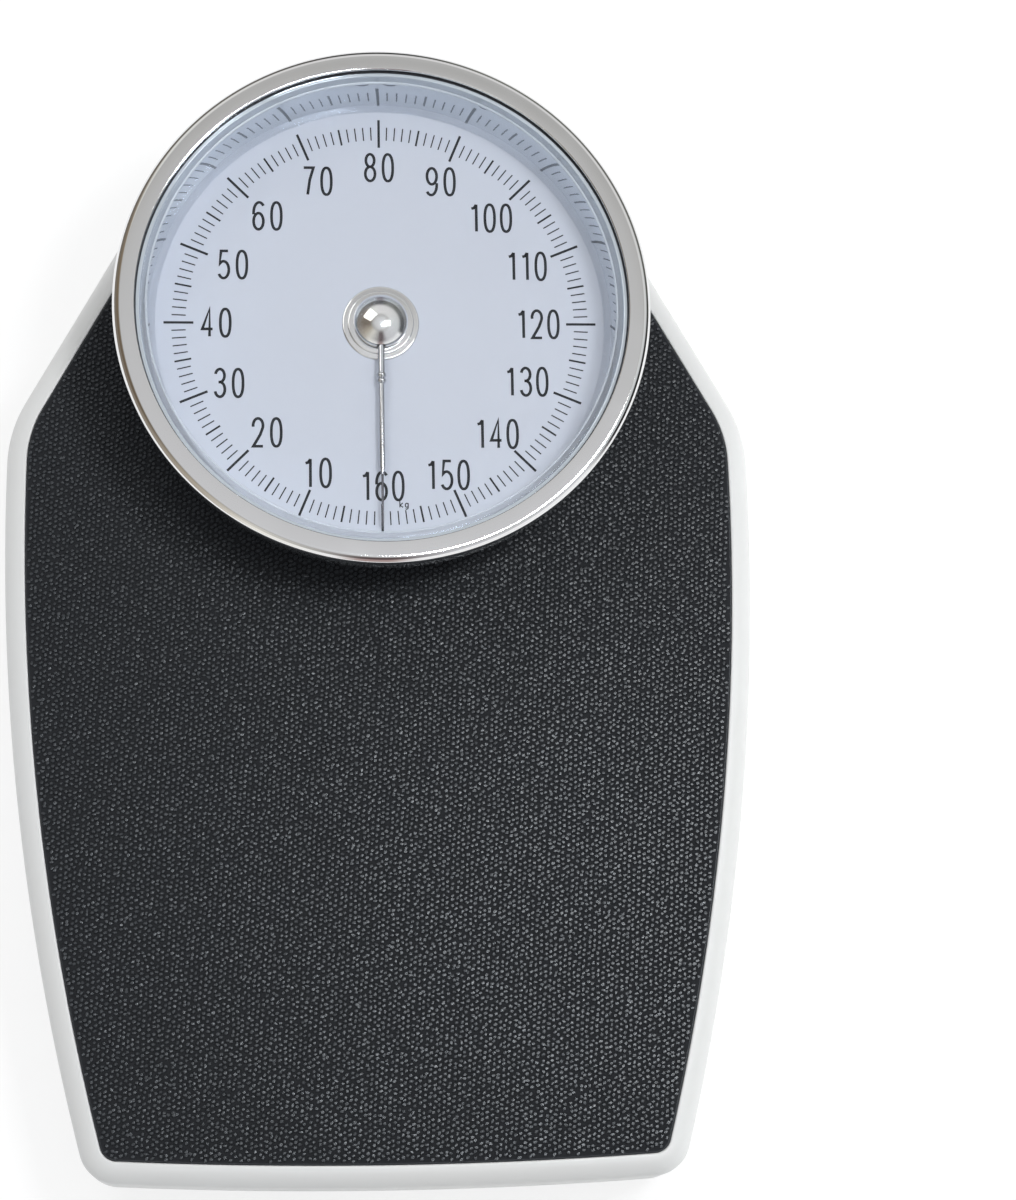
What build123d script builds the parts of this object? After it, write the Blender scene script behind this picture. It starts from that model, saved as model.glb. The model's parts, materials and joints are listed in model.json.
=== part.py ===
from build123d import *
from math import asin, atan2, cos, degrees, hypot, pi, radians, sin, sqrt, tan
import os

# Mechanical bathroom scale: a platform on four lever corners, one weighing spring, and a crank,
# rack and pinion that turn a pointer over a large round dial.
# Millimetres. Origin on the floor under the middle, +Y towards the dial, +X to the right.

os.makedirs("parts", exist_ok=True)

# Platform outline
PLATFORM_WIDTH = 290.0
WIDEST_Y = 39.6
SIDE_RADIUS = 951.0
FRONT_Y = -216.0
FRONT_RADIUS = 1735.0
SHOULDER_Y = 76.3
DIAGONAL_ANGLE = 29.25
REAR_RADIUS = 178.0
REAR_Y = 207.0
FRONT_CORNER_RADIUS = 14.5
SHOULDER_RADIUS = 53.0
REAR_CORNER_RADIUS = 38.0

# Platform sheet and mat
PLATFORM_TOP = 51.0
PLATFORM_SKIRT_BOTTOM = 20.0
PLATFORM_SHEET = 1.0
EDGE_ROLL_RADIUS = 7.0
LIP_WIDTH = 8.0
RECESS_DEPTH = 1.2
MAT_THICKNESS = 2.0
MAT_GAP = 0.15
MAT_EDGE_RADIUS = 0.6

# Base tray and feet
FOOT_HEIGHT = 5.0
FOOT_RADIUS = 13.0
FOOT_STUD_RADIUS = 3.0
FOOT_HEAD_RADIUS = 4.6
FOOT_HEAD_HEIGHT = 2.0
FRONT_FOOT_SIDE_MARGIN = 57.0
FRONT_FOOT_END_MARGIN = 28.0
REAR_FOOT_SIDE_MARGIN = 77.0
REAR_FOOT_END_MARGIN = 33.0
BASE_SHEET = 1.2
BASE_WALL_TOP = 24.0
BASE_CORNER_ROLL = 4.0
SKIRT_GAP = 2.0
BEAD_HEIGHT = 2.4
BEAD_WIDTH = 12.0
BEAD_LENGTH = 160.0
BEAD_SPACING = 28.0
BEAD_Y = -100.0

# Lever train
LEVER_SWING = 2.0
LOAD_ARM = 25.0
FRONT_FULCRUM_SIDE_MARGIN = 65.0
FRONT_FULCRUM_END_MARGIN = 51.0
REAR_FULCRUM_SIDE_MARGIN = 45.0
REAR_FULCRUM_DROP_BACK = 1.3
LONG_BAR_BOTTOM = 22.5
LONG_BAR_HEIGHT = 12.0
SHORT_BAR_BOTTOM = 15.0
SHORT_BAR_HEIGHT = 6.0
BAR_THICKNESS = 3.0
BAR_END = 8.0
BAR_STRAIGHT = 10.0
NOSE_HALF_WIDTH = 16.0
NOSE_AHEAD = 19.0
NOSE_BEHIND = 12.0
NOSE_SHEET = 2.5
NOSE_FLANGE = 2.0
NOSE_FLANGE_TOP = 33.0
NOSE_RIVET_RADIUS = 1.8
NOSE_RIVET_FRONT_MARGIN = 8.0
NOSE_RIVET_REAR_MARGIN = 6.0
LINK_THICKNESS = 3.0
LINK_WALL = 4.0
LINK_BAR = 3.0

# Pivot pins and the pressed channels that hold them
PIN_RADIUS = 2.5
PIN_LENGTH = 17.0
FIXED_FIT = 0.02
RUNNING_FIT = 0.08
CHANNEL_SHEET = 2.0
CHANNEL_GAP = 9.0
CHANNEL_LENGTH = 16.0
EAR_MARGIN = 5.0
EAR_ROUND = 5.0
RIVET_RADIUS = 2.0
RIVET_HEAD_RADIUS = 3.6
RIVET_HEAD_HEIGHT = 1.1

# Weighing spring, its stud and the zero wheel
SPRING_TO_COLUMN = 17.7
COIL_RADIUS = 9.0
COIL_WIRE_RADIUS = 1.3
COIL_TURNS = 7.0
PLUG_HEIGHT = 5.0
STUD_RADIUS = 3.0
ZERO_TRAVEL = 0.8
BRIDGE_PLATE_BOTTOM = 52.5
BRIDGE_SHEET = 2.0
BRIDGE_INNER_X = 21.5
BRIDGE_DEPTH = 14.0
BRIDGE_FOOT = 9.5
WHEEL_RADIUS = 42.0
WHEEL_THICKNESS = 5.0
WHEEL_KNURLS = 72
WHEEL_LIFT = 0.1
STUD_TOP = 62.0

# Crank, rack and pinion
PINION_TEETH = 12
GEAR_MODULE = 0.5
PRESSURE_ANGLE = 20.0
PINION_ADDENDUM = 0.45
PINION_DEDENDUM = 0.55
RACK_ADDENDUM = 0.32
RACK_DEDENDUM = 0.6
BACKLASH = 0.14
PINION_WIDTH = 4.0
CRANK_HALF_SWING = 24.0
CRANK_X = -6.0
CRANK_THICKNESS = 2.0
CRANK_HUB_RADIUS = 3.6
CRANK_HUB_LENGTH = 6.6
CRANK_INPUT_WIDTH = 3.0
CRANK_OUTPUT_WIDTH = 2.4
CRANK_PIN_RADIUS = 1.5
NOSE_CONTACT_GAP = 0.15
ELBOW_AHEAD = 0.25
ELBOW_RISE = 0.66
WRIST_AHEAD = 0.8
WRIST_RISE = 0.7
RACK_SLOT_AHEAD = 9.5
RACK_THICKNESS = 2.0
RACK_BACK_X = -8.6
RACK_SLOT_WIDTH = 2.4
RACK_SLOT_LENGTH = 4.4
RACK_END_MARGIN = 5.3
FRAME_SHEET = 1.5
FRAME_HALF_WIDTH = 28.5
FRAME_FRONT_Y = 100.0
FRAME_REAR_Y = 147.0
FRAME_LEG_FRONT_Y = 118.0
FRAME_FOOT = 11.0
LEG_SLOT_LENGTH = 26.0
LEG_SLOT_WIDTH = 12.0
FRAME_PLATE_GAP = 4.1
CRANK_EAR_GAP = 7.0
GUIDE_GAP = 0.15
GUIDE_LENGTH = 16.0
STRAP_HALF_WIDTH = 13.5
STRAP_DEPTH = 9.0
SHAFT_RADIUS = 1.5
CUP_RADIUS = 4.0
CUP_FLOOR = 2.0
CUP_HEIGHT = 4.0
BUSH_RADIUS = 3.5
BUSH_FLANGE_RADIUS = 5.5
BUSH_FLANGE = 1.2

# Light springs that keep the crank on the nose and the platform on its levers
RETURN_COIL_RADIUS = 1.7
RETURN_WIRE_RADIUS = 0.3
RETURN_TURNS = 12.0
RETURN_GAP = 0.3
HOLD_COIL_RADIUS = 2.6
HOLD_WIRE_RADIUS = 0.45
HOLD_TURNS = 9.0
HOLD_OUTBOARD = 20.0
HOLD_INBOARD = 20.0
HOLD_FROM_PIVOT = 14.0

# Dial head
DIAL_Y = 113.2
DIAL_TOP = 68.0
DIAL_SHEET = 1.5
COLUMN_RADIUS = 66.0
COLUMN_WALL = 1.5
COLUMN_FLANGE = 10.0
COLUMN_WINDOW_TOP = 38.0
COLUMN_WINDOW_WIDTH = 80.0
SIDE_WINDOW_WIDTH = 52.0
SIDE_WINDOW_SILL = 4.0
SIDE_WINDOW_ROUND = 5.0
TOP_FLANGE = 7.5
WHEEL_SLOT_GAP = 1.5
COLUMN_GAP = 2.5
HOLE_FLANGE = 6.0
MAT_HOLE_MARGIN = 2.0
HOUSING_SHEET = 1.5
HOUSING_TAPER = 2.8
HOUSING_ROUND = 3.5
RIM_BOTTOM = 91.0
RIM_SHEET = 1.2
LENS_THICKNESS = 2.5
LENS_WALL = 2.6
LENS_WALL_GAP = 0.3
WALL_TAPER = 3.1
WALL_SHEET = 1.2
BEZEL_RADIUS = 102.8
BEZEL_WIDTH = 8.8
BEZEL_SHEET = 1.2
BEZEL_ROLL = 3.2
BEZEL_SKIRT = 12.0
BEZEL_TAPER = 1.3
COLLAR_RADIUS = 14.9
COLLAR_STEP_RADIUS = 12.7
COLLAR_BORE = 6.5
COLLAR_LOW = 0.8
COLLAR_HIGH = 1.4
POINTER_Z = 71.05
POINTER_BOSS_RADIUS = 5.5
POINTER_BOSS_BOTTOM = 69.7
POINTER_BOSS_HEIGHT = 3.2
POINTER_LENGTH = 81.5
ROD_RADIUS = 1.35
BEAD_RADIUS = 1.9
BEAD_FRONT = 20.5
BEAD_REAR = 25.0
SLIM_RADIUS = 1.1
SLIM_END = 58.0
NEEDLE_RADIUS = 0.45
NEEDLE_START = 61.0
CAP_RADIUS = 10.45
CAP_BOTTOM = 70.2
CAP_HEIGHT = 6.2
CAP_SKIRT = 1.8
CAP_SHEET = 0.7
SCREW_RADIUS = 1.8
SCREW_HEAD_RADIUS = 3.4
SCREW_HEAD_HEIGHT = 1.6

# Sizes that follow from the ones above
FRONT_FOOT_X = PLATFORM_WIDTH / 2 - FRONT_FOOT_SIDE_MARGIN
FRONT_FOOT_Y = FRONT_Y + FRONT_FOOT_END_MARGIN
REAR_FOOT_X = PLATFORM_WIDTH / 2 - REAR_FOOT_SIDE_MARGIN
REAR_FOOT_Y = REAR_Y - REAR_FOOT_END_MARGIN
FRONT_FULCRUM_X = PLATFORM_WIDTH / 2 - FRONT_FULCRUM_SIDE_MARGIN
FRONT_FULCRUM_Y = FRONT_Y + FRONT_FULCRUM_END_MARGIN
REAR_FULCRUM_X = PLATFORM_WIDTH / 2 - REAR_FULCRUM_SIDE_MARGIN
REAR_FULCRUM_Y = SHOULDER_Y - REAR_FULCRUM_DROP_BACK
SPRING_Y = DIAL_Y + COLUMN_RADIUS - COLUMN_WALL - SPRING_TO_COLUMN
BEZEL_INNER_RADIUS = BEZEL_RADIUS - BEZEL_WIDTH
RIM_RADIUS = BEZEL_RADIUS - BEZEL_SHEET - 0.4
LENS_RADIUS = RIM_RADIUS - 0.6
WALL_TOP_RADIUS = BEZEL_INNER_RADIUS - 1.8
WALL_FOOT_RADIUS = WALL_TOP_RADIUS - WALL_TAPER
HOUSING_TOP_RADIUS = WALL_TOP_RADIUS + WALL_SHEET + HOUSING_SHEET + 2.5
HOUSING_FOOT_RADIUS = HOUSING_TOP_RADIUS - HOUSING_TAPER
DIAL_RADIUS = HOUSING_FOOT_RADIUS - HOUSING_SHEET - 2.1
NOSE_FRONT_Y = SPRING_Y - NOSE_AHEAD
NOSE_REAR_Y = SPRING_Y + NOSE_BEHIND
HALF_WIDTH = PLATFORM_WIDTH / 2
DIAGONAL = radians(DIAGONAL_ANGLE)
FLOOR_TOP = FOOT_HEIGHT + BASE_SHEET
MAT_BOTTOM = PLATFORM_TOP - RECESS_DEPTH
PLATFORM_UNDERSIDE = MAT_BOTTOM - PLATFORM_SHEET
BASE_INSET = PLATFORM_SHEET + SKIRT_GAP
LONG_PIN_Z = LONG_BAR_BOTTOM + LONG_BAR_HEIGHT / 2
SHORT_PIN_Z = SHORT_BAR_BOTTOM + SHORT_BAR_HEIGHT / 2
LINK_Y = (FRONT_FULCRUM_Y + REAR_FULCRUM_Y) / 2
CHANNEL_WIDTH = CHANNEL_GAP + 2 * CHANNEL_SHEET
NOSE_TOP = LONG_BAR_BOTTOM + NOSE_SHEET
SWING = radians(LEVER_SWING)
PITCH_RADIUS = PINION_TEETH * GEAR_MODULE / 2
RACK_TRAVEL = 2 * pi * PITCH_RADIUS
CRANK_SWING = radians(CRANK_HALF_SWING)
CRANK_HEIGHT = RACK_TRAVEL / (2 * tan(CRANK_SWING))
CRANK_Y = DIAL_Y + RACK_SLOT_AHEAD + RACK_TRAVEL / 2
NOSE_DROP = (CRANK_Y - FRONT_FULCRUM_Y) * SWING / (1 - SWING / (2 * tan(CRANK_SWING)))
CRANK_ARM = NOSE_DROP / (2 * sin(CRANK_SWING))
CRANK_TIP_Z = NOSE_TOP + NOSE_CONTACT_GAP + CRANK_INPUT_WIDTH / 2
CRANK_Z = CRANK_TIP_Z - CRANK_ARM * sin(CRANK_SWING)
RACK_Z = CRANK_Z + CRANK_HEIGHT
FRAME_PLATE_BOTTOM = RACK_Z + RACK_THICKNESS / 2 + FRAME_PLATE_GAP
COLUMN_INNER = COLUMN_RADIUS - COLUMN_WALL
HOUSING_BOTTOM = DIAL_TOP - DIAL_SHEET - HOUSING_SHEET
HOUSING_FLOOR = HOUSING_BOTTOM + HOUSING_SHEET
LENS_BOTTOM = RIM_BOTTOM + RIM_SHEET
BEZEL_TOP = LENS_BOTTOM + LENS_THICKNESS + BEZEL_SHEET + 0.1
WHEEL_BOTTOM = BRIDGE_PLATE_BOTTOM + BRIDGE_SHEET + WHEEL_LIFT
PLATFORM_HOLE = COLUMN_RADIUS + COLUMN_GAP
MAT_HOLE = PLATFORM_HOLE + MAT_HOLE_MARGIN
COLLAR_TOP = DIAL_TOP + COLLAR_HIGH
SHAFT_TOP = CAP_BOTTOM + CAP_HEIGHT - CAP_SHEET
DIAL_AXIS = Axis((0, DIAL_Y, 0), (0, 0, 1))
DIAL_PROFILE_PLANE = Plane(origin=(0, DIAL_Y, 0), x_dir=(1, 0, 0), z_dir=(0, -1, 0))


def save(piece, name):
    """Label a finished piece and write it under the same name."""
    piece.label = name
    export_step(piece, f"parts/{name}.step")


def side_x(y, inset=0):
    """Half width of the platform at y on the long curved side, drawn in by inset."""
    return HALF_WIDTH - SIDE_RADIUS + sqrt((SIDE_RADIUS - inset) ** 2 - (y - WIDEST_Y) ** 2)


def front_y(x, inset=0):
    """Front edge of the platform at x, drawn in by inset."""
    return FRONT_Y + FRONT_RADIUS - sqrt((FRONT_RADIUS - inset) ** 2 - x**2)


def rear_y(x, inset=0):
    """Rear edge of the platform at x, drawn in by inset."""
    return REAR_Y - REAR_RADIUS + sqrt((REAR_RADIUS - inset) ** 2 - x**2)


def diagonal_x(y, inset=0):
    """Straight diagonal side at y, drawn in by inset."""
    return side_x(SHOULDER_Y) - (y - SHOULDER_Y) * tan(DIAGONAL) - inset / cos(DIAGONAL)


def outline_corners(inset):
    """Front, shoulder and rear corners of the right side before rounding, found by iteration."""
    front_x, shoulder_y, rear_x = HALF_WIDTH, SHOULDER_Y, HALF_WIDTH / 2
    for _ in range(60):
        front_x = side_x(front_y(front_x, inset), inset)
        shoulder_y += (diagonal_x(shoulder_y, inset) - side_x(shoulder_y, inset)) / tan(DIAGONAL)
        rear_x = diagonal_x(rear_y(rear_x, inset), inset)
    return (
        (front_x, front_y(front_x, inset)),
        (side_x(shoulder_y, inset), shoulder_y),
        (rear_x, rear_y(rear_x, inset)),
    )


def body_outline(inset):
    """Plan of the platform, drawn in from its edge by inset."""
    front, shoulder, rear = outline_corners(inset)
    middle_y = (front[1] + shoulder[1]) / 2
    middle = (side_x(middle_y, inset), middle_y)
    front_left, shoulder_left, rear_left, middle_left = ((-x, y) for x, y in (front, shoulder, rear, middle))
    with BuildSketch(mode=Mode.PRIVATE) as outline:
        with BuildLine():
            ThreePointArc(front_left, (0, FRONT_Y + inset), front)
            ThreePointArc(front, middle, shoulder)
            Line(shoulder, rear)
            ThreePointArc(rear, (0, REAR_Y - inset), rear_left)
            Line(rear_left, shoulder_left)
            ThreePointArc(shoulder_left, middle_left, front_left)
        make_face()
        for (_, y), radius in (
            (rear, REAR_CORNER_RADIUS),
            (shoulder, SHOULDER_RADIUS),
            (front, FRONT_CORNER_RADIUS),
        ):
            fillet(outline.vertices().filter_by_position(Axis.Y, y - 0.01, y + 0.01), radius - inset)
    return outline.sketch


def flat_bar(points, width):
    """Sketch a bar of even width with round ends along the points."""
    for (x0, y0), (x1, y1) in zip(points, points[1:]):
        with Locations(((x0 + x1) / 2, (y0 + y1) / 2)):
            run = hypot(x1 - x0, y1 - y0)
            SlotCenterToCenter(run, width, rotation=degrees(atan2(y1 - y0, x1 - x0)))


def upright_plane(y):
    """Plane across the scale at y, with its x to the right and its y up."""
    return Plane(origin=(0, y, 0), x_dir=(1, 0, 0), z_dir=(0, -1, 0))


def long_bar_x(y):
    """Distance of a long lever's middle line from the scale's centre line, on its slanting run."""
    share = (y - LONG_BEND_FRONT_Y) / (LONG_BEND_REAR_Y - LONG_BEND_FRONT_Y)
    return FRONT_FULCRUM_X + (NOSE_BAR_X - FRONT_FULCRUM_X) * share


NOSE_BAR_X = NOSE_HALF_WIDTH + BAR_THICKNESS / 2
LONG_BEND_FRONT_Y = FRONT_FULCRUM_Y + LOAD_ARM + BAR_STRAIGHT
LONG_BEND_REAR_Y = NOSE_FRONT_Y - 1.0
LINK_X = long_bar_x(LINK_Y)


# Base tray: pressed steel, with stiffening beads and holes for the feet and rivets
BRACKET_SPOTS = [
    ("front_left", -FRONT_FULCRUM_X, FRONT_FULCRUM_Y, LONG_PIN_Z),
    ("front_right", FRONT_FULCRUM_X, FRONT_FULCRUM_Y, LONG_PIN_Z),
    ("rear_left", -REAR_FULCRUM_X, REAR_FULCRUM_Y, SHORT_PIN_Z),
    ("rear_right", REAR_FULCRUM_X, REAR_FULCRUM_Y, SHORT_PIN_Z),
]
FOOT_SPOTS = [
    ("front_left", -FRONT_FOOT_X, FRONT_FOOT_Y),
    ("front_right", FRONT_FOOT_X, FRONT_FOOT_Y),
    ("rear_left", -REAR_FOOT_X, REAR_FOOT_Y),
    ("rear_right", REAR_FOOT_X, REAR_FOOT_Y),
]
BRIDGE_OUTER_X = BRIDGE_INNER_X + BRIDGE_SHEET
BRIDGE_RIVET_X = BRIDGE_OUTER_X + BRIDGE_FOOT / 2
FRAME_LEG_MIDDLE_Y = (FRAME_LEG_FRONT_Y + FRAME_REAR_Y) / 2
FRAME_SCREW_X = FRAME_HALF_WIDTH + FRAME_FOOT / 2
COLUMN_SCREW_RADIUS = COLUMN_RADIUS + COLUMN_FLANGE / 2
COLUMN_SCREW_SPOTS = [
    (COLUMN_SCREW_RADIUS * cos(radians(angle)), DIAL_Y + COLUMN_SCREW_RADIUS * sin(radians(angle)))
    for angle in (45, 135, 225, 315)
]
HOUSING_SCREW_RADIUS = COLUMN_INNER - TOP_FLANGE / 2
HOUSING_SCREW_SPOTS = [
    (HOUSING_SCREW_RADIUS * cos(radians(angle)), DIAL_Y + HOUSING_SCREW_RADIUS * sin(radians(angle)))
    for angle in (45, 135, 225, 315)
]
FRAME_SCREW_SPOTS = [(-FRAME_SCREW_X, FRAME_LEG_MIDDLE_Y), (FRAME_SCREW_X, FRAME_LEG_MIDDLE_Y)]
RIVET_SPOTS = [(x, y) for _, x, y, _ in BRACKET_SPOTS]
RIVET_SPOTS += [(-BRIDGE_RIVET_X, SPRING_Y), (BRIDGE_RIVET_X, SPRING_Y)]

with BuildPart() as tray_space:
    with BuildSketch(Plane.XY.offset(FLOOR_TOP)):
        add(body_outline(BASE_INSET + BASE_SHEET))
    extrude(amount=BASE_WALL_TOP - FLOOR_TOP)
    fillet(tray_space.faces().sort_by(Axis.Z)[0].edges(), BASE_CORNER_ROLL - BASE_SHEET)

with BuildPart() as base_tray:
    with BuildSketch(Plane.XY.offset(FOOT_HEIGHT)):
        add(body_outline(BASE_INSET))
    extrude(amount=BASE_WALL_TOP - FOOT_HEIGHT)
    fillet(base_tray.faces().sort_by(Axis.Z)[0].edges(), BASE_CORNER_ROLL)
    add(tray_space.part, mode=Mode.SUBTRACT)
    bead_centres = [(-BEAD_SPACING, BEAD_Y), (0, BEAD_Y), (BEAD_SPACING, BEAD_Y)]
    with BuildSketch(Plane.XY.offset(FLOOR_TOP)):
        with Locations(*bead_centres):
            SlotOverall(BEAD_LENGTH, BEAD_WIDTH, rotation=90)
    extrude(amount=BEAD_HEIGHT)
    with BuildSketch(Plane.XY.offset(FOOT_HEIGHT)):
        with Locations(*bead_centres):
            SlotOverall(BEAD_LENGTH - 2 * BASE_SHEET, BEAD_WIDTH - 2 * BASE_SHEET, rotation=90)
    extrude(amount=BEAD_HEIGHT, mode=Mode.SUBTRACT)
    with BuildSketch(Plane.XY.offset(FOOT_HEIGHT)):
        with Locations(*[(x, y) for _, x, y in FOOT_SPOTS]):
            Circle(FOOT_STUD_RADIUS + RUNNING_FIT)
        with Locations(*RIVET_SPOTS):
            Circle(RIVET_RADIUS + FIXED_FIT)
        with Locations(*COLUMN_SCREW_SPOTS, *FRAME_SCREW_SPOTS):
            Circle(SCREW_RADIUS + FIXED_FIT)
    extrude(amount=BASE_SHEET, mode=Mode.SUBTRACT)
save(base_tray.part, "base_tray")


# Rubber feet, pushed through the tray and held by their own heads
for place, foot_x, foot_y in FOOT_SPOTS:
    with BuildPart() as foot:
        with BuildSketch(Plane(origin=(foot_x, foot_y, 0), x_dir=(1, 0, 0), z_dir=(0, -1, 0))):
            with BuildLine():
                Polyline(
                    (0, 0),
                    (FOOT_RADIUS, 0),
                    (FOOT_RADIUS - 1.5, FOOT_HEIGHT),
                    (FOOT_STUD_RADIUS, FOOT_HEIGHT),
                    (FOOT_STUD_RADIUS, FLOOR_TOP),
                    (FOOT_HEAD_RADIUS, FLOOR_TOP),
                    (FOOT_STUD_RADIUS - 0.8, FLOOR_TOP + FOOT_HEAD_HEIGHT),
                    (0, FLOOR_TOP + FOOT_HEAD_HEIGHT),
                    close=True,
                )
            make_face()
        revolve(axis=Axis((foot_x, foot_y, 0), (0, 0, 1)))
    save(foot.part, f"{place}_foot")


def channel_bracket(x, y, web_z, pin_z):
    """Pressed U-channel: a level web at web_z and two ears that reach past a pivot pin."""
    up = 1 if pin_z > web_z else -1
    ear_z = pin_z + up * EAR_MARGIN
    height = abs(ear_z - web_z)
    with BuildPart() as bracket:
        with BuildSketch(upright_plane(y)):
            with Locations((x, (web_z + ear_z) / 2)):
                Rectangle(CHANNEL_WIDTH, height)
            with Locations((x, (web_z + up * CHANNEL_SHEET + ear_z) / 2)):
                Rectangle(CHANNEL_GAP, height - CHANNEL_SHEET, mode=Mode.SUBTRACT)
        extrude(amount=CHANNEL_LENGTH / 2, both=True)
        ear_rows = bracket.edges().filter_by(Axis.X).group_by(Axis.Z)
        fillet(ear_rows[-1] if up > 0 else ear_rows[0], EAR_ROUND)
        with BuildSketch(Plane.YZ.offset(x)):
            with Locations((y, pin_z)):
                Circle(PIN_RADIUS + RUNNING_FIT)
        extrude(amount=CHANNEL_WIDTH, both=True, mode=Mode.SUBTRACT)
        if up > 0:
            with BuildSketch(Plane.XY.offset(web_z)):
                with Locations((x, y)):
                    Circle(RIVET_RADIUS + FIXED_FIT)
            extrude(amount=CHANNEL_SHEET, mode=Mode.SUBTRACT)
    return bracket.part


# Brackets on the base carry the levers, and hangers under the platform stand on them
for place, bracket_x, bracket_y, pin_z in BRACKET_SPOTS:
    toward_nose = 1 if place.startswith("front") else -1
    save(channel_bracket(bracket_x, bracket_y, FLOOR_TOP, pin_z), f"{place}_fulcrum_bracket")
    hanger_y = bracket_y + toward_nose * LOAD_ARM
    save(channel_bracket(bracket_x, hanger_y, PLATFORM_UNDERSIDE, pin_z), f"{place}_platform_hanger")

with BuildPart() as bracket_rivets:
    for index, (rivet_x, rivet_y) in enumerate(RIVET_SPOTS):
        sheet = CHANNEL_SHEET if index < len(BRACKET_SPOTS) else BRIDGE_SHEET
        with BuildSketch(Plane.XY.offset(FOOT_HEIGHT)):
            with Locations((rivet_x, rivet_y)):
                Circle(RIVET_RADIUS)
        extrude(amount=BASE_SHEET + sheet)
        with BuildSketch(Plane.XY.offset(FLOOR_TOP + sheet)):
            with Locations((rivet_x, rivet_y)):
                Circle(RIVET_HEAD_RADIUS)
        extrude(amount=RIVET_HEAD_HEIGHT, taper=25)
        with BuildSketch(Plane.XY.offset(FOOT_HEIGHT)):
            with Locations((rivet_x, rivet_y)):
                Circle(RIVET_HEAD_RADIUS)
        extrude(amount=-RIVET_HEAD_HEIGHT, taper=25)
save(bracket_rivets.part, "bracket_rivets")


# Long levers: bars on edge that run from the front corners to the nose under the spring
LONG_PIN_YS = (FRONT_FULCRUM_Y, FRONT_FULCRUM_Y + LOAD_ARM)
SHORT_PIN_YS = (REAR_FULCRUM_Y, REAR_FULCRUM_Y - LOAD_ARM)
NOSE_RIVET_YS = (NOSE_FRONT_Y + NOSE_RIVET_FRONT_MARGIN, NOSE_REAR_Y - NOSE_RIVET_REAR_MARGIN)
NOSE_RIVET_Z = (NOSE_TOP + NOSE_FLANGE_TOP) / 2

for side, name in ((-1, "long_lever_left"), (1, "long_lever_right")):
    with BuildPart() as long_lever:
        with BuildSketch(Plane.XY.offset(LONG_BAR_BOTTOM)):
            flat_bar(
                [
                    (side * FRONT_FULCRUM_X, FRONT_FULCRUM_Y - BAR_END),
                    (side * FRONT_FULCRUM_X, LONG_BEND_FRONT_Y),
                    (side * NOSE_BAR_X, LONG_BEND_REAR_Y),
                    (side * NOSE_BAR_X, NOSE_REAR_Y),
                ],
                BAR_THICKNESS,
            )
        extrude(amount=LONG_BAR_HEIGHT)
        with BuildSketch(Plane.YZ.offset(side * FRONT_FULCRUM_X)):
            with Locations(*[(pin_y, LONG_PIN_Z) for pin_y in LONG_PIN_YS]):
                Circle(PIN_RADIUS + FIXED_FIT)
        extrude(amount=BAR_THICKNESS, both=True, mode=Mode.SUBTRACT)
        with BuildSketch(Plane.YZ.offset(side * NOSE_BAR_X)):
            with Locations(*[(rivet_y, NOSE_RIVET_Z) for rivet_y in NOSE_RIVET_YS]):
                Circle(NOSE_RIVET_RADIUS + FIXED_FIT)
        extrude(amount=BAR_THICKNESS, both=True, mode=Mode.SUBTRACT)
    save(long_lever.part, name)

with BuildPart() as lever_nose:
    with BuildSketch(upright_plane(NOSE_FRONT_Y)):
        with Locations((0, (LONG_BAR_BOTTOM + NOSE_FLANGE_TOP) / 2)):
            Rectangle(2 * NOSE_HALF_WIDTH, NOSE_FLANGE_TOP - LONG_BAR_BOTTOM)
        with Locations((0, (NOSE_TOP + NOSE_FLANGE_TOP) / 2)):
            Rectangle(2 * (NOSE_HALF_WIDTH - NOSE_FLANGE), NOSE_FLANGE_TOP - NOSE_TOP, mode=Mode.SUBTRACT)
    extrude(amount=-(NOSE_REAR_Y - NOSE_FRONT_Y))
    fillet(lever_nose.edges().filter_by(Axis.X).group_by(Axis.Z)[-1], 4.0)
    with BuildSketch(Plane.YZ):
        with Locations(*[(rivet_y, NOSE_RIVET_Z) for rivet_y in NOSE_RIVET_YS]):
            Circle(NOSE_RIVET_RADIUS + FIXED_FIT)
    extrude(amount=2 * NOSE_HALF_WIDTH, both=True, mode=Mode.SUBTRACT)
    with BuildSketch(Plane.XY.offset(LONG_BAR_BOTTOM)):
        with Locations((0, SPRING_Y)):
            Circle(STUD_RADIUS + FIXED_FIT)
    extrude(amount=NOSE_SHEET, mode=Mode.SUBTRACT)
save(lever_nose.part, "lever_nose")

with BuildPart() as nose_rivets:
    for side in (-1, 1):
        inner_x = side * (NOSE_HALF_WIDTH - NOSE_FLANGE)
        outer_x = side * (NOSE_HALF_WIDTH + BAR_THICKNESS)
        rivet_points = [(rivet_y, NOSE_RIVET_Z) for rivet_y in NOSE_RIVET_YS]
        with BuildSketch(Plane.YZ.offset(inner_x)):
            with Locations(*rivet_points):
                Circle(NOSE_RIVET_RADIUS)
        extrude(amount=outer_x - inner_x)
        for head_x, outward in ((inner_x, -side), (outer_x, side)):
            with BuildSketch(Plane.YZ.offset(head_x)):
                with Locations(*rivet_points):
                    Circle(NOSE_RIVET_RADIUS + 1.3)
            extrude(amount=outward * RIVET_HEAD_HEIGHT, taper=25)
save(nose_rivets.part, "nose_rivets")


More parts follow.
